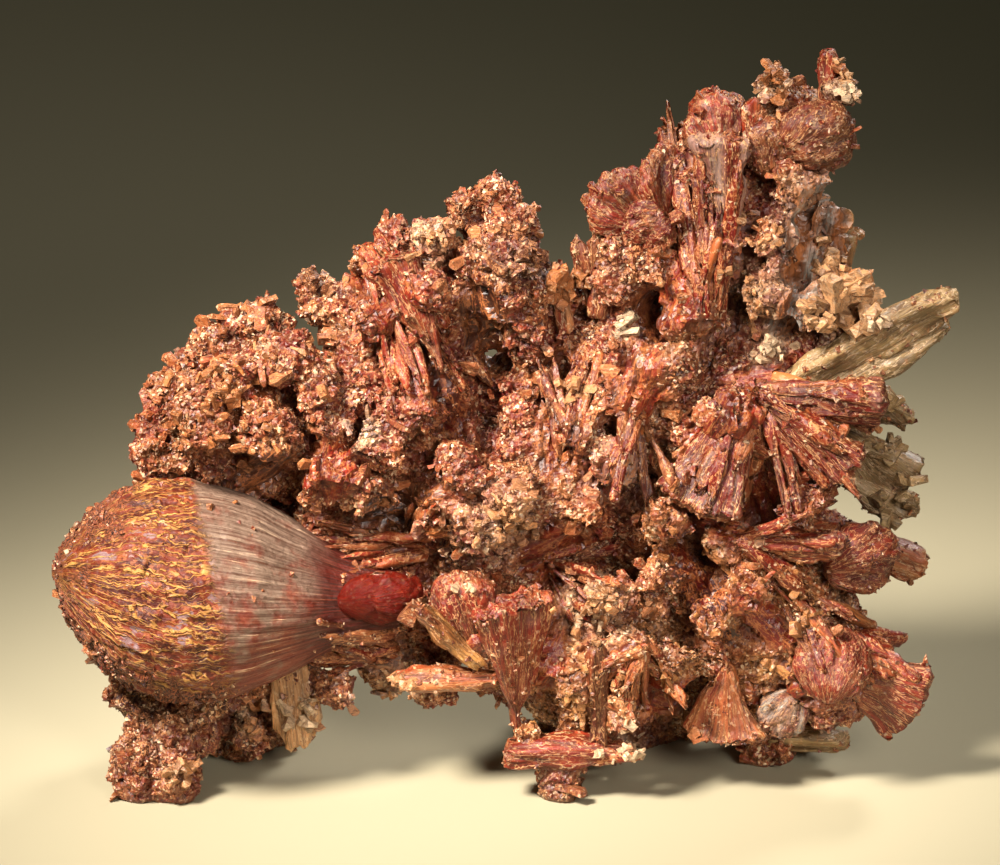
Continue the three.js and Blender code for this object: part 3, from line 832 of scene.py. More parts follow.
heads = {
    "rings": 34,
    "sides": 48,
    "all": named("centre radius thickness yaw pitch aim", [
        # aim: the way its plates grow, across, up and back
        ((15, 72, -2), 4.6, 4.6, 24, 8, (-0.8, 0.6, -0.2)),
        ((20.2, 74.6, 0), 4.6, 3.8, 56, -4, (0, 1, -0.2)),
        ((18.2, 69, -4), 3.6, 3.6, -30, 20, (-0.5, -0.5, -0.6)),
        ((26.9, 81.2, 0), 4.4, 6, 12, -12, (-0.2, 1, -0.1)),
        ((32.6, 78.4, -3), 3.4, 4.2, -18, 8, (-0.2, 0.7, -0.7)),
        ((39.4, 80, -3), 4.8, 7, 8, 24, (0.8, 0.3, -0.3)),
        ((-4.4, 22, -10), 4.8, 5.4, 0, 10, (-0.2, 0.6, -0.8)),
        ((44.8, 27.8, -6), 4.9, 5, 14, 10, (0.9, 0.1, -0.3)),
        ((41.4, 14.6, -9), 5, 4.8, 18, -34, (0.2, 0.8, -0.5)),
        ((35.6, 8, -5.6), 3.4, 3, -14, -8, (-0.3, -0.6, -0.6)),
    ]),
    # smooth ones, like a lens
    "smooth": named("centre radius thickness yaw pitch aim", [
        ((-14.8, 23, -10), 5, 5, 6, 8, (1, 0, 0)),
    ]),
    "flattened": 0.66,  # how high a smooth one is beside its width
    "depth": 0.54,  # half its depth, as a share of its thickness
    "spare": 1.03,  # how far its skin stands outside the solid
    "smoothPaint": "#5a0c05",
    # which colour the plates of each head turn to
    "colours": [
        "brick", "brick", "deepRed", "brick", "brown",
        "brown", "brick", "deepRed", "brick", "blueGrey",
    ],
}


def headAxes(head):
    yaw = Matrix.Rotation(math.radians(head["yaw"]), 3, "Z")
    pitch = Matrix.Rotation(math.radians(head["pitch"]), 3, "X")
    return np.array(yaw @ pitch)


def headSkin(head, colour, seed, smooth):
    rings, sides, radius = heads["rings"], heads["sides"], head["radius"]
    aim = unit(place(*head["aim"]) - place(0, 0, 0))
    axes = growthAxes(aim)
    polar = np.linspace(0.0, math.pi, rings + 2)[1:-1]
    turn = np.linspace(-math.pi, math.pi, sides, endpoint=False)
    polar, turn = [grid.ravel() for grid in np.meshgrid(polar, turn, indexing="ij")]
    way = np.stack([-np.cos(polar), np.sin(polar) * np.cos(turn), np.sin(polar) * np.sin(turn)], axis=1)
    way = np.concatenate([way, [[-1, 0, 0], [1, 0, 0]]]) @ axes.T
    own = headAxes(head)
    tall = heads["flattened"] if smooth else 1
    grown = np.array([radius, head["thickness"] * heads["depth"], radius * tall]) * heads["spare"]
    skin = place(*head["centre"]) + ((way @ own) * grown) @ own.T
    points, triangles = ringSkin(skin[:-2].reshape(rings, sides, 3), skin[-2], skin[-1])
    reach = (points - (skin[-2] - aim * 0.6)) @ axes
    fanned = np.arctan2(reach[:, 1], np.maximum(reach[:, 0], 0.3)) * radius * 1.6
    grain = np.stack([np.linalg.norm(reach, axis=1), fanned, reach[:, 2]], axis=1)
    part = weatheredAndShaded(points, triangles, grain, clamp(grain[:, 0] / (2 * radius)), colour, seed)
    if smooth:
        flat, _ = facets(points, 3.2, seed, 0.2, 0.22)
        flat += softNoise(points, 3, seed + 1) * 0.4
        part["points"] = points + pointNormals(points, triangles) * flat[:, None]
        part["paint"] = np.repeat(paint(heads["smoothPaint"])[None], len(points), axis=0)
        part["patchy"] = np.zeros(len(points))
        part["toneAndGrooveShade"] = np.full(len(points), 0.9)
    return part


def buildHeads():
    parts = [headSkin(head, heads["colours"][i], 210 + i, False) for i, head in enumerate(heads["all"])]
    smooth = [headSkin(head, "deepRed", 240 + i, True) for i, head in enumerate(heads["smooth"])]
    meshPiece("round_heads", *gather(parts), glassyMaterial, True)
    meshPiece("smooth_crystal", *gather(smooth), smoothMaterial, True)
    return parts


fans = {
    "rings": 27,
    "caps": 7,
    "sides": 50,
    "all": named("waist rim spread thickness roll colour", [
        ((2, 6, -8), (1.6, 23, -12), 34, 4, 28, "brick"),
        ((28.6, 15, -6), (28, 4.2, -7), 58, 3.4, 22, "tan"),
        ((39, 16, -5), (52.8, 9.2, -4), 46, 6, 26, "brick"),
        ((31, 49, -8), (47.4, 46.6, -8), 30, 4.6, 36, "deepRed"),
        ((32, 48, -9), (43.6, 38.4, -10), 34, 4, 24, "deepRed"),
        ((31, 49, -8), (24, 33.4, -12), 40, 4.4, 20, "deepRed"),
        ((40, 46, 1), (50.4, 36, 2), 44, 4, 16, "olive"),
        ((-7, 51, -8), (-13.4, 65.4, -5), 30, 5, 12, "brick"),
        ((28, 62, -5), (27, 80, -4), 22, 5, 10, "lilac"),
        ((24, 12, 14), (40, 26, 20), 60, 5, 30, "brick"),
        ((4, 30, 14), (-8, 44, 18), 60, 5, -20, "brown"),
        ((30, 58, 8), (36, 74, 12), 40, 4, 20, "brick"),
    ]),
}


# the same ring for fans and blades: a rounded oblong, from -1 to 1 each way, that closes at the end
def oblong(rings, caps, sides):
    turn = np.linspace(-math.pi, math.pi, sides, endpoint=False)
    wide = np.sign(np.cos(turn)) * np.abs(np.cos(turn)) ** 0.75
    deep = np.sign(np.sin(turn)) * np.abs(np.sin(turn)) ** 0.6
    share = np.concatenate([np.linspace(0.02, 1, rings), np.ones(caps)])
    shrink = np.concatenate([np.ones(rings), np.cos(np.linspace(0, math.pi / 2, caps + 2)[1:-1])])
    shares, shrinks = np.repeat(share, sides), np.repeat(shrink, sides)
    wides, deeps = [np.tile(span, len(share)) * shrinks for span in (wide, deep)]
    return shares, shrinks, wides, deeps


def fanSkin(fan, seed):
    start = place(*fan["waist"])
    direction = place(*fan["rim"]) - start
    radius = float(np.linalg.norm(direction))
    share, shrink, wide, deep = oblong(fans["rings"], fans["caps"], fans["sides"])
    angle = math.radians(fan["spread"] / 2) * wide
    lane = angle * radius
    ragged = softNoise(np.stack([lane, deep * 0.8, lane * 0], axis=1), 0.7, seed) * 0.035
    rim = 0.97 + 0.04 * (1 - shrink) + ragged * share ** 4
    out = share * radius * (0.86 + 0.14 * np.cos(angle)) * rim
    through = fan["thickness"] * fanHalf(share) * deep
    local = np.stack([out * np.cos(angle), out * np.sin(angle), through], axis=1)
    grain = np.stack([out, lane, through], axis=1)
    axes = growthAxes(direction, fan["roll"])
    return grownSkin(start, axes, radius, fans["sides"], local, grain, share, fan["colour"], seed)


# half a fan's depth at a share of its length, beside its thickness
def fanHalf(share):
    return 0.2 + 0.3 * share


blades = {
    "detail": (24, 4, 40),  # rings along, rings that close the end, points around
    "shares": (0, 0.55, 0.88, 1),
    "halfWidths": (0.34, 0.5, 0.46, 0.3),  # at these shares of its length, beside its width
    "all": named("root tip width thickness roll colour", [
        ((36, 48.8, -4), (56.4, 60.6, -6), 6.2, 3, 24, "olive"),
        ((40, 48, -4), (55.1, 56.8, -4), 4, 3.2, -20, "olive"),
        ((-2.4, 14.6, -10), (-11, 22.6, -14), 3, 2.4, 30, "gold"),
        ((0, 12.6, -9), (-13.4, 12.6, -9), 3, 2.6, 20, "tan"),
        ((12.4, 3.8, -9), (11.8, 17.6, -13), 3.2, 2.2, 40, "brown"),
        ((0.6, 3.4, -9), (15, 3.2, -9), 4.4, 4, 0, "brick"),
        ((33, 29.8, -8), (43, 29.4, -10), 4, 3, 10, "deepRed"),
        ((34, 4.6, 2), (44.6, 4.2, 2), 4.6, 2.4, 50, "olive"),
        ((40, 83, 0), (40.2, 90.3, 0), 2.4, 2, 0, "brick"),
        ((31.2, 76, -2), (31.3, 84.6, -1), 2.6, 2, 0, "brick"),
        ((-26.6, 18, -4), (-25, 4.4, -4), 6, 4.6, 20, "honey"),
        ((42, 50, 3), (51.6, 44.6, 4), 5, 2.6, 30, "olive"),
        ((44, 38, 2), (52.2, 33, 1), 5, 3, -20, "olive"),
        ((43, 31, 2), (53.9, 26.4, 1), 5.6, 3.4, 24, "peach"),
        ((12, 58, 0), (9.4, 67.8, 0), 2.2, 1.8, 20, "brown"),
        ((12, 58, -1), (12.2, 68.6, -1), 2.4, 1.8, -10, "brown"),
        ((8, 56, -1), (7, 64.4, -2), 3, 2.4, 0, "peach"),
    ]),
}


def bladeSkin(start, end, blade, seed, detail):
    rings, caps, sides = detail
    direction = end - start
    length = float(np.linalg.norm(direction))
    share, shrink, wide, deep = oblong(rings, caps, sides)
    side = blade["width"] * np.interp(share, blades["shares"], blades["halfWidths"]) * wide
    ragged = softNoise(np.stack([side, deep * 0.7, side * 0], axis=1), 0.8, seed) * 0.06
    frayed = (ragged - 0.06 * np.abs(wide) ** 3) * share ** 4
    out = share * length * (0.97 + 0.03 * (1 - shrink) + frayed)
    local = np.stack([out, side, blade["thickness"] * 0.5 * deep], axis=1)
    axes = growthAxes(direction, blade["roll"])
    return grownSkin(start, axes, length, sides, local, local, share, blade["colour"], seed)


def buildFansAndBlades():
    red, pale = [], []
    for i, fan in enumerate(fans["all"]):
        (pale if fan["colour"] in paleKinds else red).append(fanSkin(fan, 310 + i))
    for i, blade in enumerate(blades["all"]):
        made = bladeSkin(place(*blade["root"]), place(*blade["tip"]), blade, 350 + i, blades["detail"])
        (pale if blade["colour"] in paleKinds else red).append(made)
    meshPiece("red_bundles", *gather(red), glassyMaterial, True)
    meshPiece("pale_blades", *gather(pale), paleMaterial, True)
    return red + pale


# the crusted body

crust = {
    "cell": 0.6,  # mm between points
    "shrink": 0.35,  # the druse that grows on it makes up for this
    "bigKnob": 4.2,
    "midKnob": 1.9,
    "grain": 0.95,
    "lift": (1.5, 0.85, -1.2),  # how far the big and the middle knobs stand out, and what all is sunk by
    "covered": -1.1,  # under a skin of its own the body keeps out of the way
    "split": 4,  # mm across, where its left part ends
    "seed": 71,
}

# crystals that show through the druse:
# across, up, half length, half width, the way they run in degrees, the upper and the lower colour
bareZones = [
    (-12, 56, 13, 4.6, -63, "brick", "deepRed"),
    (-7, 49, 9, 3.2, -66, "deepRed", "dark"),
    (-2.4, 57, 6, 2.6, -80, "brown", "dark"),
    (26.4, 68, 12, 4.4, 90, "brick", "lilac"),
    (23, 62, 7, 3, 80, "brick", "deepRed"),
    (38.6, 68, 9, 4.6, 84, "blueGrey", "tan"),
    (36, 58.6, 5, 3, 70, "blueGrey", "brown"),
    (44.4, 66, 7, 2.6, 105, "olive", "tan"),
    (37.6, 49, 9, 3, -5, "brick", "deepRed"),
    (40, 44, 9, 3.6, -35, "brown", "deepRed"),
    (28, 41, 9, 4.6, -112, "brick", "deepRed"),
    (34, 36, 6, 3.4, -60, "brick", "deepRed"),
    (32, 31, 11, 3.2, -15, "deepRed", "brick"),
    (31, 31.6, 4, 2, -15, "blueGrey", "brick"),
    (25, 24, 8, 4, -60, "deepRed", "dark"),
    (33, 20, 7, 3.4, -40, "brick", "deepRed"),
    (40, 14, 8, 4.6, 30, "deepRed", "brick"),
    (48, 11, 6, 5, -35, "brown", "deepRed"),
    (18, 11, 7, 4.4, -10, "deepRed", "brick"),
    (5, 15, 7, 3, 70, "brick", "deepRed"),
    (7.5, 45, 8, 3.6, 82, "brown", "deepRed"),
    (17, 50, 8, 3.6, 70, "brick", "brown"),
    (20, 58, 6, 3.4, 60, "brown", "deepRed"),
    (-20, 16, 7, 3.6, 172, "brown", "dark"),
    (-4, 21, 5.4, 5, 50, "deepRed", "brick"),
    (-20.4, 38.8, 4, 4, 80, "brick", "deepRed"),
    (-30, 38, 6, 3, 30, "brown", "dark"),
    (8, 2.6, 7, 2.4, 0, "brick", "tan"),
    (14, 39, 5, 3, 60, "lilac", "brick"),
    (6, 28, 6, 3, 20, "brick", "deepRed"),
    (-12, 34, 6, 3, 10, "brown", "dark"),
]


# how bare each point is, its place along, across and through the crystal there, and the two colours
def bareness(points, seed):
    seen = onFace(points)
    share = np.zeros(len(points))
    grain = points.copy()
    colours = np.zeros_like(points)
    wander = softNoise(points, 4.5, seed) * 0.35 + softNoise(points, 1.7, seed + 1) * 0.35
    under = np.zeros_like(points)
    for index, (across, up, long, wide, angle, name, underName) in enumerate(bareZones):
        turn = math.radians(angle)
        right = seen[:, 0] - across
        above = seen[:, 1] - up
        along = right * math.cos(turn) + above * math.sin(turn)
        side = above * math.cos(turn) - right * math.sin(turn)
        weight = clamp((1.1 - np.hypot(along / long, side / wide) + wander) * 2.4)
        better = weight > share
        share[better] = weight[better]
        splayed = side / (1 + 0.35 * np.clip(along / long, -1, 1))
        grain[better] = np.stack([along, splayed + index * 37, points[:, 1] * 0.6], axis=1)[better]
        colours[better] = palette[name]
        under[better] = palette[underName]
    return share, grain, colours, under


# the points seen in the axes of what grows from one place to another, and how long that is
def alongGrowth(points, start, end, roll):
    start = place(*start)
    reach = place(*end) - start
    return (points - start) @ growthAxes(reach, roll), float(np.linalg.norm(reach))


# which points lie in a piece that has a skin of its own, or less than a millimetre outside it
def underSkin(points):
    start, axes, length = sheafFrame()
    local = (points - start) @ axes
    share = local[:, 0] / length
    local[:, 1] += greatSheaf["sag"] * np.sin(math.pi * clamp(share))
    radius = np.interp(share, greatSheaf["shares"], greatSheaf["radii"])
    covered = (share > 0.03) & (share < 1.04) & (np.hypot(local[:, 1], local[:, 2]) < radius + 0.75)
    for head in heads["all"] + heads["smooth"]:
        own = (points - place(*head["centre"])) @ headAxes(head)
        scaled = own / np.array([head["radius"], head["thickness"] * 0.53, head["radius"]])
        covered |= np.linalg.norm(scaled, axis=1) < 1.1
    for fan in fans["all"]:
        own, radius = alongGrowth(points, fan["waist"], fan["rim"], fan["roll"])
        away = np.hypot(own[:, 0], own[:, 1])
        angle = np.abs(np.arctan2(own[:, 1], own[:, 0]))
        wide = angle < math.radians(fan["spread"] / 2) + 0.5 / np.maximum(away, 0.5)
        thick = np.abs(own[:, 2]) < fan["thickness"] * fanHalf(away / radius) + 0.4
        covered |= wide & thick & (away < radius + 0.6)
    for blade in blades["all"]:
        own, length = alongGrowth(points, blade["root"], blade["tip"], blade["roll"])
        inside = (own[:, 0] > -0.3) & (own[:, 0] < length + 0.5)
        for k, side in ((1, blade["width"]), (2, blade["thickness"])):
            inside &= np.abs(own[:, k]) < side * 0.5 + 0.4
        covered |= inside
    return covered


def remeshedSolid():
    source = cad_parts["stilbite_cluster"]
    mesh = source.data.copy()
    mesh.materials.clear()
    copy = bpy.data.objects.new("solid copy", mesh)
    bpy.context.scene.collection.objects.link(copy)
    remesh = copy.modifiers.new("even cells", "REMESH")
    remesh.mode = "VOXEL"
    remesh.voxel_size = crust["cell"] * mm
    depsgraph = bpy.context.evaluated_depsgraph_get()
    made = copy.evaluated_get(depsgraph).to_mesh()
    points = np.zeros(len(made.vertices) * 3)
    made.vertices.foreach_get("co", points)
    normals = np.zeros(len(made.vertices) * 3)
    made.vertex_normals.foreach_get("vector", normals)
    corners = np.zeros(len(made.polygons) * 4, np.int32)
    made.loops.foreach_get("vertex_index", corners)
    copy.evaluated_get(depsgraph).to_mesh_clear()
    bpy.data.objects.remove(copy)
    return points.reshape(-1, 3) / mm, normals.reshape(-1, 3), corners.reshape(-1, 4)


# only the faces chosen, with the points that they use numbered again
def cutOut(corners, chosen, values):
    used = np.unique(corners[chosen])
    number = np.zeros(corners.max() + 1, np.int64)
    number[used] = np.arange(len(used))
    return number[corners[chosen]], [value[used] for value in values]


def buildBody():
    points, normals, corners = remeshedSolid()
    seed = crust["seed"]
    covered = underSkin(points)
    bare, grain, upper, under = bareness(points, seed + 30)
    big = knobs(points, crust["bigKnob"], seed)
    mid = knobs(points, crust["midKnob"], seed + 1)
    small, _ = facets(points, crust["grain"], seed + 2, 0.12, 0.3)
    swell = softNoise(points, 8, seed + 3) * 0.7 + softNoise(points, 4.5, seed + 4) * 0.45
    bigLift, midLift, sunk = crust["lift"]
    knobby = big * bigLift + mid * midLift + small + sunk
    long = grain * np.array([0.12, 1, 1])
    plates, plateBorder = facets(long, 1.7, seed + 5, 0.4, 0.3)
    ridges = plates + softNoise(long, 0.8, seed + 6) * 0.22 - np.exp(-plateBorder / 0.2) * 0.35
    move = knobby * (1 - bare) + ridges * bare + swell - crust["shrink"]
    move = np.where(covered, crust["covered"], move)
    standing = clamp((points[:, 2] - 0.2) / 1.2)  # the undersides of its feet stay where they are
    moved = points + normals * (move * standing)[:, None]
    moved[:, 2] = np.maximum(moved[:, 2], 0.02)
    # painted shade: the gaps between knobs and between plates get low values, which the finish paints
    # dark
    druseUnshaded = np.clip(0.75 * big + 0.5 * mid, 0.03, 1)
    stoneUnshaded = np.clip(0.8 + ridges * 0.8, 0.2, 1)
    unshadedShare = druseUnshaded * (1 - bare) + stoneUnshaded * bare
    lane = clamp(0.5 + 0.9 * softNoise(long, 1.1, seed + 7))[:, None]
    stone = under * (1 - lane) + upper * lane
    colours = zoneColours(points, seed) * 0.8
    colours = colours * (1 - bare[:, None]) + stone * bare[:, None]
    left = points[corners].mean(axis=1)[:, 0] < crust["split"]
    for name, chosen in (("crusted_body_left", left), ("crusted_body_right", ~left)):
        faces, values = cutOut(corners, chosen, [moved, unshadedShare, bare, colours, grain])
        floats = {"unshaded": values[1], "bare": values[2]}
        vectors = {"paint": values[3], "grain": values[4]}
        body = meshPiece(name, values[0], faces, floats, vectors, bodyMaterial, False)
        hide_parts("stilbite_cluster")
    return {"points": moved, "corners": corners, "weight": (1 - 0.88 * bare) * ~covered}


# finds the point nearest to the viewer around a spot of the face, or None where there is none
def faceFinder(points, reach):
    seen = onFace(points)
    away = points[:, 1] * math.cos(faceTilt) - points[:, 2] * math.sin(faceTilt)

    def find(spot):
        close = np.flatnonzero(np.hypot(seen[:, 0] - spot[0], seen[:, 1] - spot[1]) < reach)
        return points[close[np.argmin(away[close])]] if len(close) else None

    return find


# splays: blades that part from one place on the body and lie along it

splays = {
    "detail": (9, 1, 12),
    "reach": 0.8,  # mm around a spot within which the body is looked for
    "middle": 0.55,
    "rootDepth": (0.4, 1.6),
    "tipLift": (-0.2, 1.4),
    "strays": 0.3,  # how many have another colour
    "strayColours": ("brown", "deepRed", "tan"),
    "seed": 61,
    "all": named("at angles count long wide colour", [
        # at and angles are on the face: where they start and between which ways, in degrees, they run
        ((32.5, 49.4), (-125, 0), 42, (8, 15), (1.0, 2.1), "deepRed"),
        ((29, 29.6), (-40, 20), 26, (7, 14), (1.0, 2.0), "brick"),
        ((36, 23), (-80, -10), 22, (6, 12), (1.0, 2.0), "brown"),
        ((44, 18), (-70, -10), 16, (5, 10), (1.0, 2.2), "brick"),
        ((18, 18), (-150, -50), 22, (5, 9), (0.9, 1.7), "tan"),
        ((-17, 68), (-82, -48), 29, (10, 22), (1.0, 2.2), "brick"),
        ((26, 56), (74, 108), 32, (8, 24), (0.9, 1.8), "deepRed"),
        ((-12, 16), (160, 192), 19, (6, 12), (0.9, 1.7), "brown"),
        ((-9, 29), (168, 190), 16, (7, 14), (0.6, 1.3), "tan"),
        ((17, 46), (-120, -60), 16, (5, 10), (0.9, 1.6), "brown"),
        ((8, 41), (70, 110), 16, (7, 12), (0.9, 1.6), "brown"),
        ((-12, 30), (15, 85), 14, (3.6, 5.4), (0.6, 1.2), "tan"),
        ((6, 26), (-70, 30), 16, (5, 9), (0.9, 1.7), "brick"),
        ((10, 3), (-8, 8), 10, (5, 8), (0.9, 1.7), "brick"),
    ]),
}


def buildSplays(body):
    random = np.random.default_rng(splays["seed"])
    surfaceAt = faceFinder(body["points"], splays["reach"])
    parts = []
    for splay in splays["all"]:
        for i in range(splay["count"]):
            share = (i + random.uniform(0, 1)) / splay["count"]
            angle = math.radians(np.interp(share, [0, 1], splay["angles"]))
            way = np.array([math.cos(angle), math.sin(angle)])
            long = random.uniform(*splay["long"])
            foot = np.array(splay["at"]) + random.normal(0, 0.8, 2)
            foot = foot + way * random.uniform(0, 0.25) * long
            start, middle, end = [surfaceAt(foot + way * long * k) for k in (0, splays["middle"], 1)]
            if start is None or middle is None:
                continue
            if end is None or np.linalg.norm(end - start) > long * 1.5:
                end = start + (middle - start) / splays["middle"]
            start = start - towardsViewer * random.uniform(*splays["rootDepth"])
            end = end + towardsViewer * random.uniform(*splays["tipLift"])
            wide = random.uniform(*splay["wide"])
            own = random.random() > splays["strays"]
            colour = splay["colour"] if own else splays["strayColours"][random.integers(3)]
            blade = {
                "width": wide, "thickness": wide * random.uniform(0.35, 0.7),
                "roll": random.uniform(-40, 40), "colour": colour,
            }
            parts.append(bladeSkin(start, end, blade, 500 + len(parts), splays["detail"]))
    meshPiece("red_splays", *gather(parts), redMaterial, True)
    return parts


# druse and small crystals that grow on all of it

druse = {
    "grains": 93000,
    "pieces": 3,
    "size": (0.26, 0.78),
    "shape": ((0.5, 0.8), (0.35, 0.6), (0.5, 0.95)),  # width, depth and height beside its size
    "lean": 0.4,
    "onBundles": 0.5,  # how thickly it lies on heads, fans and blades, beside the body
    "sunk": 0.15,  # mm
    "white": (0.13, 0.6),  # how many are whiter, and by how much
    "feet": 0.55,  # painted shade at the foot of a grain: how unshaded its foot is painted, beside its tip
    "seed": 90,
}
smallCrystals = {
    "count": 1500,
    "size": (0.9, 2.4),
    "seed": 91,
}


# skins of all kinds as one list of four-sided faces, with how readily druse grows on each
def growingGround(skinList):
    points, corners, weights = [], [], []
    start = 0
    for skin in skinList:
        faces = skin["corners"]
        if faces.shape[1] == 3:
            faces = np.concatenate([faces, faces[:, 2:]], axis=1)
        points.append(skin["points"])
        corners.append(faces + start)
        weights.append(skin["weight"])
        start += len(skin["points"])
    points, corners, weights = np.concatenate(points), np.concatenate(corners), np.concatenate(weights)
    a, b, c, d = [points[corners[:, k]] for k in range(4)]
    cross = np.cross(c - a, d - b)
    height = (a[:, 2] + c[:, 2]) / 2
    weight = np.linalg.norm(cross, axis=1) * weights[corners].min(axis=1) * (height > 0.5)
    return {"sides": (a, b, c, d), "normal": unit(cross), "weight": weight / weight.sum()}


def spots(ground, count, random):
    chosen = random.choice(len(ground["weight"]), count, p=ground["weight"])
    a, b, c, d = [side[chosen] for side in ground["sides"]]
    u = random.random((count, 1))
    v = random.random((count, 1))
    return (a * (1 - u) + b * u) * (1 - v) + (d * (1 - u) + c * u) * v, ground["normal"][chosen]


def buildDruse(ground):
    random = np.random.default_rng(druse["seed"])
    each = druse["grains"] // druse["pieces"]
    # a grain is a small leaning point: its foot sinks in, its four slopes catch the light
    base = np.array([[-1, -1, 0], [1, -1, 0], [1, 1, 0], [-1, 1, 0], [0, 0, 1]], float)
    faces = np.array([[0, 1, 4], [1, 2, 4], [2, 3, 4], [3, 0, 4]])
    x, y, z = base.T[:, None]
    for number in range(druse["pieces"]):
        spot, normal = spots(ground, each, random)
        axis = unit(normal + random.normal(0, druse["lean"], (each, 3)))
        side = unit(np.cross(axis, random.normal(0, 1, (each, 3))))
        front = np.cross(axis, side)
        low, high = druse["size"]
        size = low + (high - low) * random.random(each) ** 2.6
        wide, deep, tall = [size * random.uniform(*span, each) for span in druse["shape"]]
        lean = random.uniform(-0.7, 0.7, (each, 2)) * np.stack([wide, deep], axis=1)
        across = x * wide[:, None] + z * lean[:, :1]
        through = y * deep[:, None] + z * lean[:, 1:]
        made = (
            (spot - normal * druse["sunk"])[:, None]
            + side[:, None] * across[..., None]
            + front[:, None] * through[..., None]
            + axis[:, None] * ((z * 1.2 - 0.2) * tall[:, None])[..., None]
        )
        triangles = (faces[None] + len(base) * np.arange(each)[:, None, None]).reshape(-1, 3)
        glow = random.uniform(0.45, 1.35, (each, 1)) * (0.8 + 0.4 * softNoise(spot, 2.6, 95))[:, None]
        many, much = druse["white"]
        whiter = (random.random((each, 1)) < many) * much
        colours = zoneColours(spot, crust["seed"]) * glow * (1 - whiter) + palette["cream"] * whiter
        floats = {"unshaded": np.tile([druse["feet"]] * 4 + [1.0], each)}
        vectors = {"paint": np.repeat(colours, len(base), axis=0)}
        meshPiece(f"druse_{number + 1}", made.reshape(-1, 3), triangles, floats, vectors, grainMaterial)


# tabular crystals set at their spots, with their feet sunk in
def tablets(spot, axis, size, colours, random):
    count = len(spot)
    each = tablet["points"]
    side = unit(np.cross(axis, random.normal(0, 1, (count, 3))))
    root = spot - axis * (size * tablet["sunk"])[:, None]
    points, corners, share = tabletMesh(
        root, axis, side, np.cross(axis, side), size * random.uniform(1.0, 1.7, count),
        size * random.uniform(0.26, 0.46, count), size * random.uniform(0.12, 0.28, count),
        size * random.normal(0, 0.08, count),
    )
    jolt = random.normal(0, 1, points.shape) * np.repeat(size, each)[:, None]
    points = points + jolt * tablet["uneven"]
    elsewhere = random.random((count, 3)) * 60  # each has its own place in the pattern
    glow = random.uniform(0.6, 1.15, (count, 1))
    return {
        "points": points, "corners": corners, "share": share,
        "toneAndGrooveShade": np.repeat(random.uniform(0.5, 1, count), each),
        "grain": points + np.repeat(elsewhere - root, each, axis=0),
        "paint": np.repeat(colours * glow, each, axis=0),
    }


def buildSmallCrystals(ground):
    random = np.random.default_rng(smallCrystals["seed"])
    count = smallCrystals["count"]
    spot, normal = spots(ground, count, random)
    low, high = smallCrystals["size"]
    size = low + (high - low) * random.random(count) ** 1.8
    axis = unit(normal + random.normal(0, 0.5, (count, 3)))
    colours = zoneColours(spot, crust["seed"] + 3)
    meshPiece("small_crystals", *gather([tablets(spot, axis, size, colours, random)]), redMaterial)


# groups of crystals that the eye goes to: where on the face, how far they spread, how many, their size
landmarks = {
    "reach": 0.9,  # mm around a spot within which the ground is looked for
    "seed": 93,
    "all": named("at reach count size colour", [
        ((-25.6, 7.4), 2.2, 14, (1.2, 2.4), "cream"),
        ((-31.8, 6.2), 1, 7, (1, 1.8), "peach"),
        ((-13.6, 11.4), 2.8, 18, (1, 2), "peach"),
        ((-17, 8.2), 2, 14, (1, 2), "lilac"),
        ((41.6, 85.2), 0.9, 9, (1.2, 2.2), "cream"),
        ((33.6, 86.2), 1.6, 12, (1.2, 2.4), "tan"),
        ((42.6, 87.6), 1, 8, (1, 1.8), "honey"),
        ((33.6, 53.6), 1.6, 14, (1, 2.2), "cream"),
        ((30.4, 57.4), 1.6, 10, (0.9, 1.8), "peach"),
        ((29.6, 62), 2, 14, (0.8, 1.8), "peach"),
        ((31.4, 67.6), 1.8, 12, (0.8, 1.6), "peach"),
        ((41.6, 65), 2.2, 14, (1.4, 3), "honey"),
        ((43.4, 59.6), 2.8, 26, (1.8, 3.8), "honey"),
        ((39.6, 57.4), 2, 12, (1.2, 2.6), "honey"),
        ((46.6, 57.6), 1.4, 8, (1.2, 2.4), "cream"),
        ((15.4, 56.6), 1.4, 9, (0.9, 1.8), "cream"),
        ((11.4, 21.4), 2.6, 20, (0.9, 2), "peach"),
        ((11, 19), 1.6, 10, (0.9, 1.8), "cream"),
        ((0, 32), 3.4, 20, (0.8, 1.8), "peach"),
        ((-4.8, 24.8), 0.8, 5, (0.8, 1.4), "cream"),
        ((-8.8, 67), 2, 12, (0.8, 1.6), "peach"),
        ((-17, 43.8), 1, 7, (0.8, 1.6), "lilac"),
        ((8.6, 61), 1.8, 12, (1.4, 3), "tan"),
        ((3.4, 64.6), 2.4, 20, (1.2, 2.8), "brown"),
        ((-23, 63), 1.6, 10, (1.2, 2.4), "brown"),
        ((8.8, 48.6), 1.8, 10, (1, 2.2), "peach"),
        ((50.4, 35), 2.2, 12, (1.6, 3), "olive"),
        ((49, 43), 2.4, 12, (1.6, 3), "olive"),
        ((-39.4, 1.4), 2, 8, (1.4, 3), "peach"),
        ((16, 3.4), 2.6, 14, (0.9, 1.8), "cream"),
        ((-33, 46), 8, 60, (0.9, 1.8), "tan"),
    ]),
}


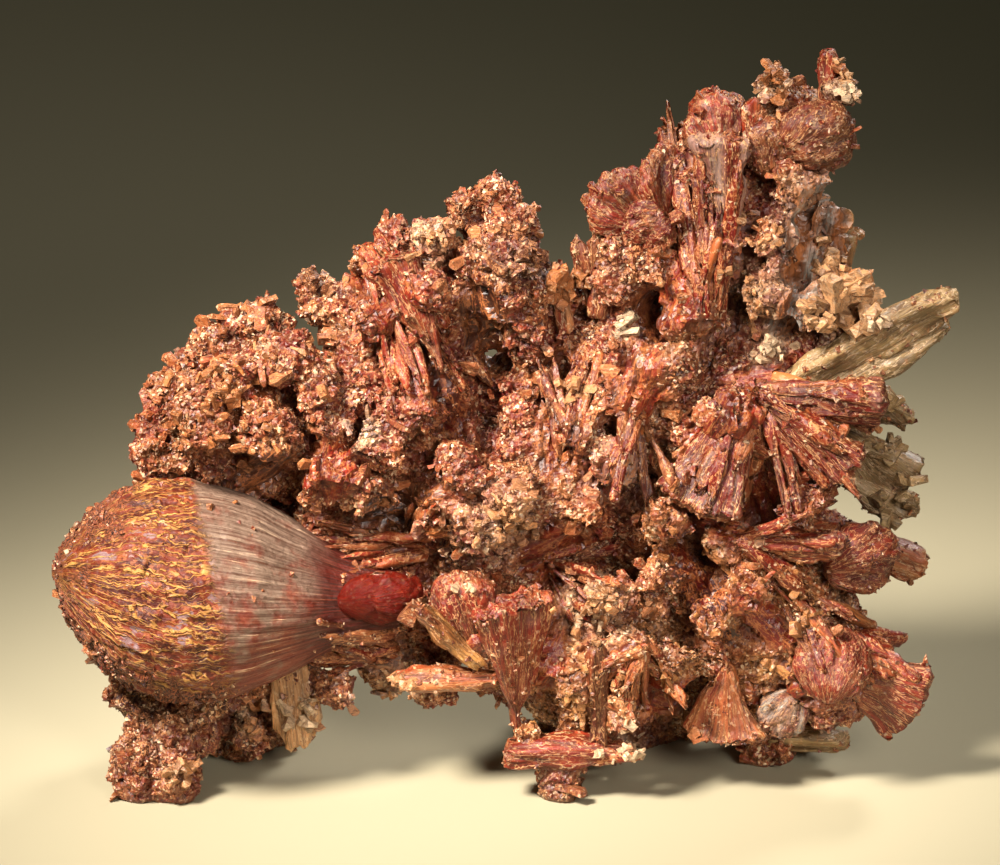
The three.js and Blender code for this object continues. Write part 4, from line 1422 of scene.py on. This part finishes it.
def buildLandmarks(ground):
    random = np.random.default_rng(landmarks["seed"])
    groundAt = faceFinder(ground["sides"][0][ground["weight"] > 0], landmarks["reach"])
    parts = {"pale": [], "red": []}
    for group in landmarks["all"]:
        at, reach, count = group["at"], group["reach"], group["count"]
        aims = [np.array(at) + random.normal(0, 0.55, 2) * reach for _ in range(count)]
        found = [spot for spot in map(groundAt, aims) if spot is not None]
        if not found:
            print("no room for crystals at", at)
            continue
        spot = np.array(found)
        low, high = group["size"]
        size = low + (high - low) * random.random(len(spot)) ** 1.3
        axis = unit(np.array([0, -0.8, 0.45]) + random.normal(0, 0.6, (len(spot), 3)))
        colours = np.repeat(palette[group["colour"]][None], len(spot), axis=0)
        kind = "pale" if group["colour"] in paleKinds else "red"
        parts[kind].append(tablets(spot, axis, size, colours, random))
    meshPiece("pale_crystals", *gather(parts["pale"]), paleMaterial)
    meshPiece("dark_crystals", *gather(parts["red"]), redMaterial)


sheafGround = buildSheaf()
body = buildBody()
bundles = buildHeads() + buildFansAndBlades() + buildSplays(body)
for bundle in bundles:
    bundle["weight"] = druse["onBundles"] * (0.12 + 0.88 * bundle["patchy"])
ground = growingGround([body, sheafGround] + bundles)
buildSmallCrystals(ground)
buildLandmarks(ground)
buildDruse(ground)


# floor, light and camera

room = {"floor": "#a49b80", "sky": "#a9aa98", "skyStrength": 0.115}


def buildRoom():
    g = Graph("pale floor")
    finish = g.finish({"Base Color": ink(room["floor"]), "Roughness": 0.85})
    mesh = bpy.data.meshes.new("floor")
    mesh.from_pydata([(-4, -3, 0), (4, -3, 0), (4, 6, 0), (-4, 6, 0)], [], [(0, 1, 2, 3)])
    mesh.materials.append(finish)
    floor = bpy.data.objects.new("floor", mesh)
    bpy.context.scene.collection.objects.link(floor)
    world = bpy.data.worlds.new("room")
    world.use_nodes = True
    background = world.node_tree.nodes["Background"]
    background.inputs["Color"].default_value = ink(room["sky"])
    background.inputs["Strength"].default_value = room["skyStrength"]
    bpy.context.scene.world = world


# spread: how wide the softbox's grid lets its light out, in degrees
lamps = named("name at aim size power spread colour", [
    ("key", (-0.2, -0.22, 0.34), (-0.015, -0.015, 0.04), 0.11, 0.3, 34, (1.0, 0.93, 0.84)),
    ("fill", (0.16, -0.42, 0.26), (0.02, 0.0, 0.05), 0.2, 0.085, 28, (1.0, 0.95, 0.88)),
    ("back", (0.2, 0.26, 0.3), (0.01, 0.02, 0.05), 0.14, 0.07, 30, (1.0, 0.96, 0.9)),
])


def buildLamps():
    for lamp in lamps:
        light = bpy.data.lights.new(lamp["name"], "AREA")
        light.shape = "DISK"
        light.size = lamp["size"]
        light.energy = lamp["power"]
        light.spread = math.radians(lamp["spread"])
        light.color = lamp["colour"]
        holder = bpy.data.objects.new(lamp["name"], light)
        holder.location = lamp["at"]
        aim = Vector(lamp["aim"]) - holder.location
        holder.rotation_euler = aim.to_track_quat("-Z", "Y").to_euler()
        bpy.context.scene.collection.objects.link(holder)


# range, width of the view and height of its middle, in mm
camera = {"range": 900.0, "fieldWidth": 125.0, "up": 43.4, "sensor": 36}


def buildCamera():
    data = bpy.data.cameras.new("camera")
    data.sensor_width = camera["sensor"]
    data.lens = camera["sensor"] * camera["range"] / camera["fieldWidth"]
    data.clip_start = 0.01
    data.clip_end = 20
    holder = bpy.data.objects.new("camera", data)
    target = place(0, camera["up"], 0)
    holder.location = Vector((target + towardsViewer * camera["range"]) * mm)
    holder.rotation_euler = (math.radians(90) - faceTilt, 0, 0)
    bpy.context.scene.collection.objects.link(holder)
    bpy.context.scene.camera = holder


buildRoom()
buildLamps()
buildCamera()
bpy.context.scene.view_settings.view_transform = "Standard"
print("room, lamps and camera ready")
